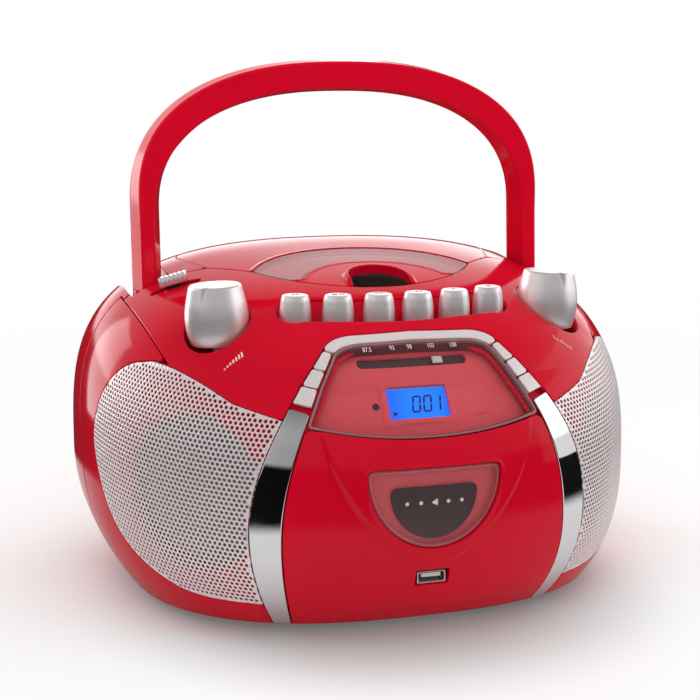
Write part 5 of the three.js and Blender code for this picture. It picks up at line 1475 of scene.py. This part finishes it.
fit(printed_shapes("label_marks", marks, lambda a, b, lift: on_front(a, b, lift, 1.6)), "door_body", ink_white,
    "pale_plastic")

# The door turns on two barrels at its foot.
barrel_profile = softened([(0, 0), (2.2, 0), (2.6, 0.4), (2.6, 11.1), (2.2, 11.5), (1.2, 11.5), (1.2, 16.0),
                           (0, 16.5)], [0, 0.2, 0.2, 0.2, 0.2, 0.1, 0.3, 0])
# The socket is a folded steel shell round a pale tongue.
usb_metal = mottled("socket_steel", (0.56, 0.55, 0.55), (0.66, 0.65, 0.65), 500.0, 0.24, 1.0)
usb_y = float(front_y(0.0, SOCKET_Z)) + 1.6
usb_place = np.array((0.0, usb_y, SOCKET_Z))


def usb_ring(half_a, half_b, depth):
    """The socket's outline at one depth."""
    plan = rounded_outline(half_a, half_b, min(half_b, 0.8))
    return np.stack([plan[:, 0], np.full(len(plan), usb_y + depth), SOCKET_Z + plan[:, 1]], 1)


usb_rings = [usb_ring(*r) for r in ((0.2, 0.1, 11.0), (6.7, 2.3, 11.0), (6.7, 2.3, 0.3), (6.85, 2.45, 0.0),
                                    (7.35, 2.95, 0.0), (7.5, 3.1, 0.25), (7.5, 3.1, 13.0), (0.2, 0.1, 13.0))]
fit(ringed("usb_shell", usb_rings), "case", usb_metal, "steel", "usb_socket")
fit(facing_plate("usb_tongue", [rounded_outline(5.0, 0.95, 0.3)], usb_place + (0, 0, 0.75), across_way,
                 np.array((0.0, 0, 1)), np.array((0.0, -1, 0)), -10.5, 9.6), "case", pale_plastic, "pale_plastic")


# ---- Knobs, keys and function slide ----
# The two rotary knobs and the six keys are aluminium caps, turned and finely brushed round, on plastic stems.
# Each knob has a small sight notch in its rim, and each key a printed sign on its top. The slide is a ribbed cap.
def brushed_metal(name, pale, deep, lines):
    """Aluminium brushed round an upright axis: very fine stripes of tone and roughness that change with height and
    hardly round it, and a fine sparkle."""
    made, shader, place = material(name, 0.36, 0.75)
    fine = place.node("ShaderNodeMapping", {}, {"Vector": place, "Scale": (90.0, 90.0, lines)})
    stripe = fine.noise(1.0, 2.0) * 0.5 + place.noise(6000.0) * 0.5
    drive(shader, "Base Color", stripe.between(0.3, 0.7).blend(pale, deep))
    drive(shader, "Roughness", stripe.between(0.3, 0.7, 0.32, 0.42))
    bumped(shader, stripe, 0.00001, 0.4)
    return made


aluminium = brushed_metal("brushed_aluminium", (1.0, 0.95, 0.96), (0.92, 0.87, 0.88), 9000.0)
knob_profile, knob_normals = softened([(0, -6), (3.3, -6), (3.3, 0.2), (14.0, 0.2), (15.7, 6), (16.3, 13.5),
                                       (15.6, 20.0), (13.5, 29.2), (12.7, 30.1), (0, 30.25)],
                                      [0, 0.2, 0.2, 0.8, 28, 34, 54, 1.2, 0.6, 0])


def sight_notch(middle):
    """Radius scale that dips 22 per cent in a narrow notch round one angle, on the rim's upper part only."""
    def scale(a, h):
        """The share of the radius left at an angle and a height."""
        away = np.angle(np.exp(1j * (a - middle)))
        return 1 - 0.22 * np.exp(-(away / 0.13) ** 4) * float(np.clip((h - 24.6) / 0.8, 0, 1))
    return scale


for side, side_name, node, body, angle in ((-1, "left", "volume_knob", "volume_body", -2.15),
                                           (1, "right", "tuning_knob", "tuning_body", -1.45)):
    fit(turned(side_name + "_rotary_knob", knob_profile, knob_normals, KNOB_FOOT[side], KNOB_AXIS[side], 144,
               sight_notch(angle)), body, aluminium, "satin_silver", node)
key_profile = softened([(0, -18), (2.5, -18), (2.5, 0), (7.4, 0), (7.9, 3), (8.1, 10.5), (7.35, 16.6), (6.5, 19.1),
                        (0, 19.35)], [0, 0.2, 0.2, 0.4, 21, 40, 12, 1.0, 0])


def wedge(left, wide, tall, way=1):
    """A triangle that points right, or left where way is -1."""
    out = np.array([(left, -tall / 2), (left + wide, 0), (left, tall / 2)])
    return out if way > 0 else np.array([(left + wide, -tall / 2), (left + wide, tall / 2), (left, 0)])


def bar(left, low, wide, tall):
    """An upright bar from its lower left corner."""
    return np.array([(left, low), (left + wide, low), (left + wide, low + tall), (left, low + tall)])


KEY_SIGNS = {"pause": [bar(-1.5, -1.5, 1.0, 3.0), bar(0.5, -1.5, 1.0, 3.0)],
             "stop_eject": [bar(-2.9, -1.2, 2.4, 2.4), bar(0.5, -1.2, 2.6, 0.7),
                            np.array([(0.5, -0.1), (3.1, -0.1), (1.8, 1.4)])],
             "fast_forward": [wedge(-2.2, 2.1, 2.6), wedge(0.1, 2.1, 2.6)],
             "rewind": [wedge(-2.2, 2.1, 2.6, -1), wedge(0.1, 2.1, 2.6, -1)],
             "play": [wedge(-1.2, 2.5, 3.0)], "record": [arc_points((0, 0), 1.4, 0, 342, 19)]}
ink_dark = mottled("dark_print", (0.06, 0.05, 0.055), (0.10, 0.085, 0.09), 700.0, 0.5)
key_up = np.array((0.0, 0, 1))
for x, key_name in zip(key_x, KEY_SIGNS):
    foot = np.array((x, key_y(x), KEY_FOOT))
    fit(turned(key_name + "_cap", *key_profile, foot, key_up, 72), key_name + "_body", aluminium, "satin_silver",
        key_name + "_key")
    fit(facing_plate(key_name + "_sign", KEY_SIGNS[key_name], foot + key_up * 19.28, across_way,
                     np.array((0.0, 1, 0)), key_up, 0, 0.09), key_name + "_body", ink_dark, "black_plastic")

slide_cap = grooved("slide_cap", 7.2, 4.3, 5.4, 6, slide_middle + slide_up * 1.1, slide_along, slide_across,
                    slide_up, 0.7)
fit(slide_cap, "slider_body", aluminium, "satin_silver", "function_slider")
fit(facing_plate("slide_stem", [rounded_outline(4.0, 1.7, 0.6)], slide_middle, slide_along, slide_across, slide_up,
                 -9.0, 10.4), "slider_body", label_black, "black_plastic")
fit(facing_plate("slide_shutter", [rounded_outline(17.5, 4.4, 1.0)], slide_middle, slide_along, slide_across,
                 slide_up, -4.4, 0.8), "case", label_black, "black_plastic")


# ---- Carry handle ----
# The handle is one red moulding, arched and flat-fronted, with bevels along its edges that widen down the legs.
# It turns on two steel pins at the foot of its legs and folds back into the channels.
HANDLE_INNER, HANDLE_OUTER, HANDLE_Y, HANDLE_Z, HANDLE_DEEP = 105.3, 116.3, 27.5, 150.0, 16.0
HANDLE_LEAN = math.tan(math.radians(3.5))
HANDLE_TOP, BAR_TALL, INNER_LEG_TOP, OUTER_LEG_TOP, SPREAD = 281.8, 17.6, 200.0, 203.0, 2.4


def handle_edge(t, reach, rise, base):
    """One edge of the handle seen from the front: straight up a leg, over half a superellipse of power 2.37, and
    down the other leg."""
    leg = 0.18
    part = np.minimum(t, 1 - t) / leg
    angle = np.pi * np.clip((t - leg) / (1 - 2 * leg), 0, 1)
    side = np.where(t < 0.5, 1.0, -1.0)
    x = np.where(part < 1, reach, reach * np.abs(np.cos(angle)) ** (2 / 2.37))
    z = np.where(part < 1, HANDLE_Z + (base - HANDLE_Z) * np.clip(part, 0, 1),
                 base + rise * np.abs(np.sin(angle)) ** (2 / 2.37))
    return np.stack([side * x, z], -1)


def even_steps(path, count):
    """Places along a path, as parameters of its samples, at equal spacing of its length."""
    length = np.concatenate([[0], np.cumsum(np.linalg.norm(np.diff(path, axis=0), axis=1))])
    return np.interp(np.linspace(0, length[-1], count), length, np.linspace(0, 1, len(path)))


fine_t = np.linspace(0, 1, 6001)


def handle_lines(t):
    """The handle's inner and outer edges: the legs spread by 2.4 mm each way, and the bar is 17.6 mm tall at its
    middle."""
    inner = handle_edge(t, HANDLE_INNER - SPREAD, HANDLE_TOP - BAR_TALL - INNER_LEG_TOP, INNER_LEG_TOP)
    outer = handle_edge(t, HANDLE_OUTER + SPREAD, HANDLE_TOP - OUTER_LEG_TOP, OUTER_LEG_TOP)
    return inner, outer


t = even_steps(sum(handle_lines(fine_t)) / 2, 260)
t = t[(t > 0.019) & (t < 0.981)]
inner_line, outer_line = handle_lines(t)
legness = step_between(250 - (inner_line + outer_line)[:, 1] / 2, 0, 60)


def handle_section(leg, across_size):
    """The handle's section in millimetres: eight corners, four small bevels at the back and two wide ones at the
    front, each corner rounded by a short curve with its normals."""
    bevel = 0.1 + 0.22 * leg
    corner = np.array([(bevel, -0.5), (1 - bevel * 0.7, -0.5), (1, 0.25), (1, 0.38), (0.92, 0.5), (0.08, 0.5),
                       (0, 0.38), (0, 0.25)])
    corner = corner * (across_size, HANDLE_DEEP)
    before, after = np.roll(corner, 1, axis=0), np.roll(corner, -1, axis=0)
    points, normals = [], []
    for a, b, c, r in zip(before, corner, after, (1.3, 1.3, 1.2, 0.8, 1.4, 1.4, 0.8, 1.2)):
        into, out = (b - a) / np.linalg.norm(b - a), (c - b) / np.linalg.norm(c - b)
        reach = min(r, 0.4 * np.linalg.norm(b - a), 0.4 * np.linalg.norm(c - b))
        s = np.linspace(0, 1, 6)[:, None]
        p, q = b - into * reach, b + out * reach
        points.append((1 - s) ** 2 * p + 2 * s * (1 - s) * b + s * s * q)
        n0, n1 = np.array((into[1], -into[0])), np.array((out[1], -out[0]))
        mixed = (1 - s) * n0 + s * n1
        normals.append(mixed / np.linalg.norm(mixed, axis=1, keepdims=True))
    return np.concatenate(points), np.concatenate(normals)


rings, ring_normals = [], []
for k in range(len(t)):
    across = outer_line[k] - inner_line[k]
    size = np.linalg.norm(across)
    across = across / size
    section, section_normal = handle_section(legness[k], size)
    flat = inner_line[k] + section[:, :1] * across
    ring = np.stack([flat[:, 0], HANDLE_Y + HANDLE_LEAN * (flat[:, 1] - HANDLE_Z) + section[:, 1], flat[:, 1]], 1)
    rings.append(ring)
    ring_normals.append(np.stack([section_normal[:, 0] * across[0], section_normal[:, 1],
                                  section_normal[:, 0] * across[1]], 1))
# The arch's red is a lighter copy of the case's red, painted lighter for the stronger front light it catches; its
# hubs keep the case's red.
lit_handle_red = glossy_plastic("handle_red_painted_lighter", (0.76, 0.003, 0.025), (0.71, 0.0026, 0.022))
fit(ringed("handle_arch", rings[::-1], ring_normals[::-1]), "handle_body", lit_handle_red, "red_shell", "carry_handle")
hub_profile = softened([(0, 0), (7.2, 0), (8, 0.8), (8, 15.2), (7.2, 16), (0, 16)], [0, 0.5, 0.5, 0.5, 0.5, 0])
pin_profile = softened([(0, 0), (3.4, 0), (4, 0.6), (4, 22.8), (3.4, 23.4), (0, 23.4)], [0, 0.4, 0.4, 0.4, 0.4, 0])
steel, shader, place = material("bright_steel", 0.28, 1.0)
worn = place.noise(400.0, 3.0)
drive(shader, "Base Color", worn.blend((0.50, 0.50, 0.52), (0.60, 0.60, 0.62)))
drive(shader, "Roughness", worn.between(0.3, 0.7, 0.22, 0.36))
for side, side_name in SIDES:
    fit(turned(side_name + "_handle_hub", *hub_profile, (side * 103, HANDLE_Y, HANDLE_Z), (side, 0, 0), 48),
        "handle_body", red_plastic, "red_shell")
    fit(turned(side_name + "_pivot_pin", *pin_profile, (side * 99.4, HANDLE_Y, HANDLE_Z), (side, 0, 0), 32), "case",
        steel, "steel", side_name + "_handle_pin")


# ---- Disc lid ----
# The lid is a thin red moulding hinged at the back. A fan-shaped window of clear smoke is let into it, and at its
# front edge a raised lip runs round a finger notch.
def window_band(x, y):
    """Inside the fan: within the rear circle, outside the front circle, and ahead of a line across."""
    return least(69.6 - np.hypot(x, y + 41.6), np.hypot(x, y + 49) - 44.0, y + 29.5)


def notch_room(x, y):
    """Distance outside the finger notch: a half circle of radius 16 carried straight to the front."""
    return np.hypot(x, np.maximum(y + 37, 0)) - 16


def lid_zone(p):
    """The lid's share: its outline less the fan and the notch."""
    x, y, z = parts(p)
    return least(lid_shape(x, y), z - UPPER_Z, -GAP * 0.6 - window_band(x, y), notch_room(x, y))


def lid_relief(p):
    """The lid's relief: a rounded lip 2.6 mm high round the notch, and a rim 0.35 mm high along the fan."""
    x, y, z = parts(p)
    room = notch_room(x, y)
    lip = 2.6 * step_between(3.4 - room, -0.2, 2.2) * step_between(y, -47.5, -38)
    return lip + 0.35 * step_between(window_band(x, y), -2.6, -1.2)


fit(moulded_panel("lid_shell", lid_zone, plan_chart, pitch=1.0, roll=0.6, thickness=2.4, relief=lid_relief),
    "disc_lid_body", red_plastic, "red_shell", "disc_lid")


def fan_zone(p):
    """The lid's window: the fan within the lid's outline."""
    x, y, z = parts(p)
    return least(lid_shape(x, y), window_band(x, y), z - UPPER_Z)


def fan_wall(p):
    """The window's moulded edge: a band 1.2 mm wide inside the fan."""
    zone = fan_zone(p)
    return least(zone - 0.2, 1.4 - zone)


# The lid's window has a thick pale cover: besides a real hazy tint, it is a painted reflection of the light from
# above.
fan_smoke = clear_smoke("lid_smoke", (0.84, 0.32, 0.345), (0.14, 0.05, 0.055), 0.42, 0.7, 1.7)
fit(moulded_panel("lid_window_pane", fan_zone, plan_chart, pitch=1.1, roll=0.4, sink=0.2, thickness=1.9),
    "disc_lid_body", fan_smoke, "smoke_window", "disc_lid_window")
fit(moulded_panel("lid_window_edge", fan_wall, plan_chart, pitch=0.7, roll=0.15, sink=2.2, thickness=1.6),
    "disc_lid_body", skirt_smoke, "smoke_window")
HINGE_Y, HINGE_Z = 100.6, float(top_z(0, 98)) - 1.6


def looped(name, rings):
    """A closed hoop: rings of points one after another, the last joined to the first, each ring closed on
    itself."""
    return mesh_piece(name, np.concatenate(rings), [grid_faces(len(rings), len(rings[0]), True, True)])


def rings_along_x(profile, y, z, turns):
    """Rings of points round a line along X at y, z: the cosine and sine of even turns times each radius of the
    profile, at each place of it."""
    a = np.linspace(0, 2 * math.pi, turns, endpoint=False)
    return [np.stack([np.full(turns, x), y + r * np.cos(a), z + r * np.sin(a)], 1) for r, x in profile]


def hinge_sleeve(name, start, end):
    """A short bored sleeve on the lid's hinge line, with its outer edges turned over by 0.3 mm."""
    profile = ((1.55, start), (2.1, start), (2.4, start + 0.3), (2.4, end - 0.3), (2.1, end), (1.55, end))
    return looped(name, rings_along_x(profile, HINGE_Y, HINGE_Z, 40))


for side_name, start in (("right", 30.0), ("left", -44.0)):
    fit(hinge_sleeve(side_name + "_lid_knuckle", start, start + 14.0), "disc_lid_body", red_plastic, "red_shell")
for n, (start, end) in enumerate(((-50.0, -44.4), (-29.6, 29.6), (44.4, 50.0))):
    fit(hinge_sleeve(f"hinge_sleeve_{n + 1}", start, end), "case", red_plastic, "red_shell")
hinge_pin = softened([(0, 0), (1.2, 0), (1.5, 0.4), (1.5, 99.6), (1.2, 100), (0, 100)], [0, 0.2, 0.2, 0.2, 0.2, 0])
fit(turned("lid_pin", *hinge_pin, (-50, HINGE_Y, HINGE_Z), (1, 0, 0), 24), "case", steel, "steel", "lid_hinge_pin")


# ---- Disc deck ----
# Under the lid lies the disc well: a red roof round a shallow pan in pale silver plastic. The clamping hub turns in
# its middle, and the laser head slides in the slot on its right.
WELL_FLOOR, WELL_RADIUS = 152.0, 62.0
silver_plastic = mottled("silver_plastic", (0.60, 0.57, 0.57), (0.68, 0.65, 0.65), 90.0, 0.34, 0.25, detail=3.0)


def deck_zone(p):
    """The deck's roof: the lid's outline less the well and the strip under the hinge."""
    x, y, z = parts(p)
    return least(lid_shape(x, y) - 0.4, z - UPPER_Z, np.hypot(x, y - DISC_Y) - WELL_RADIUS,
                 -least(56.5 - np.abs(x), y - 92))


fit(moulded_panel("deck_roof", deck_zone, plan_chart, pitch=1.4, roll=0.5, sink=4.7, thickness=2.0), "case",
    red_plastic, "red_shell", "disc_deck")
off = 27.0
heading = np.linspace(0, 2 * math.pi, 144, endpoint=False)
slot_reach = ((np.abs(np.cos(heading)) / 19.0) ** 6 + (np.abs(np.sin(heading)) / 8.0) ** 6) ** (-1 / 6)
slot_plan = np.stack([off + slot_reach * np.cos(heading), DISC_Y + slot_reach * np.sin(heading)], 1)


def well_circle(radius):
    """Points of a circle round the disc's axis at the slot outline's headings, taken from the slot's middle."""
    across, along = np.cos(heading), np.sin(heading)
    reach = -off * across + np.sqrt(radius ** 2 - (off * along) ** 2)
    return np.stack([off + reach * across, DISC_Y + reach * along], 1)


well_rim = well_circle(WELL_RADIUS)
well_top = np.maximum(top_z(*well_rim.T, 4.9), WELL_FLOOR + 2.0)
floor_steps = [at_height(slot_plan + (well_circle(60.6) - slot_plan) * s, WELL_FLOOR)
               for s in (0.03, 0.35, 0.7, 1.0)]
rings = [at_height(slot_plan, WELL_FLOOR - 1.8), at_height(slot_plan, WELL_FLOOR - 0.2), *floor_steps,
         at_height(well_circle(61.6), WELL_FLOOR + 0.4), at_height(well_rim, WELL_FLOOR + 1.4),
         at_height(well_rim, well_top), at_height(well_circle(63.8), well_top),
         at_height(well_circle(63.8), WELL_FLOOR - 1.8)]
fit(looped("disc_well", rings[::-1]), "case", silver_plastic, "pale_plastic")
hub_black = mottled("hub_plastic", (0.022, 0.022, 0.024), (0.034, 0.034, 0.036), 200.0, 0.4)
clamp_profile = softened([(0, 0), (11, 0), (11, 5), (4, 5), (4, 15), (13, 15), (13, 16.4), (7.6, 17.6), (5.6, 20),
                          (0, 20.3)], [0, 0.4, 0.4, 0.4, 0.4, 0.4, 0.6, 1.0, 1.6, 0])
fit(turned("disc_clamp", *clamp_profile, (0, DISC_Y, WELL_FLOOR - 12.8), (0, 0, 1), 72), "hub_body", hub_black,
    "black_plastic", "disc_hub")
sled_across, sled_along = np.array((1.0, 0, 0)), np.array((0.0, 1, 0))
fit(facing_plate("sled_block", [rounded_outline(11.0, 7.7, 1.0)], np.array((33.0, DISC_Y, WELL_FLOOR)), sled_across,
                 sled_along, key_up, -9.0, 7.8), "sled_body", hub_black, "black_plastic", "laser_sled")
lens_glass = mottled("lens_coating", (0.02, 0.03, 0.10), (0.03, 0.06, 0.16), 300.0, 0.06, gloss=0.8)
lens_profile = softened([(0, 0), (3.2, 0), (3.2, 1.9), (2.5, 2.3), (1.8, 2.3), (1.2, 2.7), (0, 2.85)],
                        [0, 0.2, 0.3, 0.2, 0.2, 0.5, 0])
fit(turned("sled_lens", *lens_profile, (30.0, DISC_Y, WELL_FLOOR - 1.4), (0, 0, 1), 48), "sled_body", lens_glass,
    "smoke_window")


# ---- Battery door, mains inlet and aerial ----
# The battery door is a flush red cover with a ribbed thumb catch. The inlet is a black block with two pins. The
# aerial is a bright steel tube on a swivelling foot, folded away in its rebate, with a thinner rod that pulls out.
def battery_zone(p):
    """The battery door's share of the back."""
    x, y, z = parts(p)
    return least(battery_shape(x, z), y - 90)


def battery_relief(p):
    """The cover's relief: five thumb ribs 0.6 mm high near its top edge."""
    x, y, z = parts(p)
    patch = step_between(rounded_box(x + 25, z - 74, 11, 6, 2), -0.2, 1.0)
    return patch * 0.6 * (0.5 - 0.5 * np.cos((z - 74) * 2 * math.pi / 2.4))


fit(moulded_panel("battery_cover", battery_zone, pitch=0.9, roll=0.6, thickness=SKIN, relief=battery_relief,
                  span=((2.3, -1.0), (4.2, 0.6))), "battery_body", red_plastic, "red_shell", "battery_door")
black_plastic = mottled("black_plastic", (0.020, 0.020, 0.021), (0.032, 0.032, 0.033), 260.0, 0.42, detail=3.0,
                        pits=(1500.0, 0.00003, 0.5))


def inlet_ring(half_a, half_b, radius, y):
    """A rounded outline on the inlet's face at one depth."""
    plan = rounded_outline(half_a, half_b, radius, 8)
    return np.stack([INLET_X - plan[:, 0], np.full(len(plan), y), INLET_Z + plan[:, 1]], 1)


inlet_rings = [inlet_ring(*r) for r in ((0.2, 0.1, 0.05, 97.0), (7.9, 3.9, 3.8, 97.0), (8.2, 4.2, 4.15, 97.4),
                                        (8.2, 4.2, 4.15, 105.6), (8.6, 4.6, 4.5, 106.0), (13.3, 11.3, 1.2, 106.0),
                                        (14.0, 12.0, 1.6, 105.4), (14.0, 12.0, 1.6, 88.0), (0.2, 0.1, 0.05, 88.0))]
fit(ringed("inlet_block", inlet_rings), "case", black_plastic, "black_plastic", "mains_inlet")
prong_profile = softened([(0, 0), (1.2, 0), (1.2, 6.6), (0.6, 7.8), (0, 8.0)], [0, 0.2, 0.6, 0.4, 0])
for n, x in enumerate((INLET_X - 3.7, INLET_X + 3.7)):
    fit(turned(f"inlet_prong_{n + 1}", *prong_profile, (x, 96.5, INLET_Z), (0, 1, 0), 28), "case", steel, "steel")
AERIAL_Y, AERIAL_Z, AERIAL_X = 113.5, 152.0, 70.0


def trough_zone(p):
    """The floor of the aerial's rebate: the rebate's opening and a margin all round, on the case's surface."""
    x, y, z = parts(p)
    return least(87 - np.abs(x), y - 106, z - 145)


fit(moulded_panel("aerial_trough", trough_zone, pitch=1.5, roll=0.2, sink=8.5, thickness=1.5), "case", red_plastic,
    "red_shell")
swivel_profile = softened([(0, 0), (3.3, 0), (3.8, 0.5), (3.8, 7.1), (3.3, 7.6), (0, 7.6)],
                          [0, 0.3, 0.3, 0.3, 0.3, 0])
collar_profile = softened([(0, 0), (3.2, 0), (3.2, 8.4), (2.8, 9.0), (0, 9.0)], [0, 0.2, 0.3, 0.2, 0])
fit(turned("aerial_swivel", *swivel_profile, (AERIAL_X, AERIAL_Y - 4.2, AERIAL_Z), (0, 1, 0), 48), "antenna_body",
    black_plastic, "black_plastic", "antenna_base")
fit(turned("aerial_collar", *collar_profile, (AERIAL_X, AERIAL_Y, AERIAL_Z), (-1, 0, 0), 48), "antenna_body",
    steel, "steel")
tube_profile = [(r, AERIAL_X - 9.3 - h) for r, h in ((2.1, 0.0), (2.6, 0.0), (2.9, 0.3), (2.9, 114.6), (2.6, 115.4),
                                                     (2.2, 116.0), (2.1, 116.0))]
fit(looped("aerial_tube", rings_along_x(tube_profile, AERIAL_Y, AERIAL_Z, 48)[::-1]), "antenna_body", steel,
    "steel", "antenna_mast")
tip_profile = softened([(0, 0), (1.8, 0), (1.8, 110.6), (2.9, 111.0), (3.0, 115.0), (2.2, 116.0), (0, 116.2)],
                       [0, 0.3, 0.3, 0.4, 0.6, 0.6, 0])
fit(turned("aerial_rod", *tip_profile, (54.7, AERIAL_Y, AERIAL_Z), (-1, 0, 0), 40), "antenna_tip_body", steel,
    "steel", "antenna_tip")


# ---- Loudspeakers and the parts inside ----
# Behind each grille sits a paper cone with a shiny dust cap in a pressed steel frame. The tape deck, the circuit
# board and the transformer are seen only when a door is open, and keep their plain shapes with their own finishes.
cone_paper = mottled("cone_paper", (0.34, 0.30, 0.302), (0.44, 0.40, 0.402), 500.0, 0.7, detail=4.0,
                     pits=(900.0, 0.0001, 0.6))
# The dust cap is pale and shiny, and its near-white colour is painted brighter still: a painted glare that lifts it
# out of the shade behind the grille.
pale_cap_painted_glare = mottled("dust_cap", (0.93, 0.90, 0.90), (0.98, 0.95, 0.95), 300.0, 0.22)
frame_steel = mottled("frame_steel", (0.40, 0.37, 0.375), (0.48, 0.45, 0.455), 200.0, 0.45, 0.8, detail=3.0)
frame_profile = softened([(39.5, 0.6), (43.6, 0.0), (44, 0.5), (44, 2.2), (43.4, 2.6), (38, 2.8), (24, 19),
                          (24, 24), (20, 24), (20, 36), (0, 36.2)], [0, 0.4, 0.4, 0.4, 0.4, 1.5, 1.5, 0.6, 0.6, 1.0,
    0])
cone_profile = softened([(0, 6.0), (5, 6.9), (8.5, 9.6), (10.4, 11.4), (31, 1.6), (34, 0.2), (37, 1.2), (36.8, 2.0),
                         (34, 1.4), (31, 3.0), (10.4, 13.4), (8, 18.6), (8, 25), (0, 25.2)],
                        [0, 3, 3, 0.5, 1.5, 2, 0.5, 0.3, 1, 1.5, 1, 0.5, 0.5, 0])
for side, side_name in SIDES:
    out_way = speaker_out * (side, 1, 1)
    seat = speaker_centre * (side, 1, 1) - out_way * 12.3
    back_axis = -out_way
    fit(turned(side_name + "_speaker_basket", frame_profile[0], frame_profile[1], seat, back_axis, 72), "case",
        frame_steel, "steel", side_name + "_speaker")
    fit(turned(side_name + "_cone_paper", cone_profile[0], cone_profile[1], seat - back_axis * 0.4, back_axis, 72),
        "case", cone_paper, "speaker_paper", side_name + "_speaker_cone")
    cap = softened([(0, 0), (6, 0.9), (9.6, 4.0), (9.6, 4.6), (0, 4.6)], [0, 6, 3, 0.2, 0])
    fit(turned(side_name + "_dust_cap", cap[0], cap[1], seat + back_axis * 1.6, back_axis, 60), "case", pale_cap_painted_glare,
        "speaker_paper")
board_green, shader, place = material("circuit_board", 0.4)
track = place.noise(120.0, 1.0).between(0.49, 0.51)
drive(shader, "Base Color", track.blend((0.012, 0.085, 0.030), (0.020, 0.13, 0.05)))
copper, shader, place = material("copper_winding", 0.45, 0.6)
drive(shader, "Base Color", (place.axis(2) * 9000.0).maths("SINE").between(-1, 1).blend((0.36, 0.14, 0.05),
    (0.46, 0.20, 0.08)))
pressed_steel = mottled("pressed_steel", (0.36, 0.36, 0.37), (0.46, 0.46, 0.47), 150.0, 0.35, 1.0, detail=3.0)
belt_rubber = mottled("belt_rubber", (0.012, 0.012, 0.013), (0.022, 0.022, 0.023), 500.0, 0.7)
INSIDE = {"main_board": board_green, "transformer": copper, "tape_deck_plate": pressed_steel, "tape_head": steel,
          "deck_motor": steel, "drive_belt": belt_rubber, "cassette_carrier": black_plastic,
          "right_reel_spindle": pale_plastic, "left_reel_spindle": pale_plastic, "capstan_flywheel": steel,
          "pinch_roller": belt_rubber, "motor_pulley": steel}
for node, finish in INSIDE.items():
    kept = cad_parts[node]
    kept.data.materials.clear()
    kept.data.materials.append(finish)
for side, side_name in SIDES:
    fit(turned(side_name + "_door_barrel", *barrel_profile, (side * 15.0, -98.0, 11.0), (side, 0, 0), 32),
        "door_body", red_plastic, "red_shell")


# ---- Printed signs ----
# Small printed signs: dark ones on each disc button, and in pale ink a row of growing bars by the left knob and a
# tick scale by the right.
def button_middle(i):
    """The middle of a disc button seen from the front."""
    corners = np.array([*button_edge(i), *button_edge(i + 1)])
    return corners[:, 0].mean(), corners[:, 1].mean()


BUTTON_SIGNS = {"left": ([wedge(-1.6, 1.7, 2.2, -1), bar(-2.2, -1.1, 0.5, 2.2)],
                         [bar(-1.6, -0.4, 0.9, 0.9), bar(0.7, -0.4, 0.9, 0.9)],
                         [bar(x, z, 0.7, 0.7) for x in (-2.2, -0.9, 0.4, 1.7) for z in (-1.0, 0.5)]),
                "right": ([wedge(-0.9, 1.7, 2.2), bar(0.9, -1.1, 0.5, 2.2)], [bar(-1.8, -0.3, 3.6, 0.7)],
                          [bar(-2.0, z, 4.0, 0.5) for z in (-1.3, -0.3, 0.7)])}
for side, side_name in SIDES:
    for n in range(3):
        middle_x, middle_z = button_middle(n)

        def on_button(a, b, lift):
            """A point of the button's face, across and up from its middle."""
            return on_front(a + side * middle_x, b + middle_z, lift)
        fit(printed_shapes(f"{side_name}_button_sign_{n + 1}", BUTTON_SIGNS[side_name][n], on_button, 0.05),
            f"{side_name}_disc_button_{n + 1}_body", ink_dark, "black_plastic")
volume_bars = [bar(-5.2 + 1.5 * k, -0.9, 0.8, 0.5 + 0.3 * k) for k in range(7)]
tuning_ticks = [bar(-5.0 + 1.25 * k, -0.9, 0.35, 1.9 if k % 4 == 0 else 1.1) for k in range(9)]
for sign_name, shapes, middle_x in (("volume_sign", volume_bars, -88.0), ("tuning_sign", tuning_ticks, 88.0)):

    def on_top(a, b, lift):
        """A point of the shoulder in front of a knob, from its place on the plan."""
        p = plan_chart(a + middle_x, b - 77.5)
        return p + case_normal(p) * lift
    fit(printed_shapes(sign_name, shapes, on_top, 0.05), "case", ink_white, "pale_plastic")
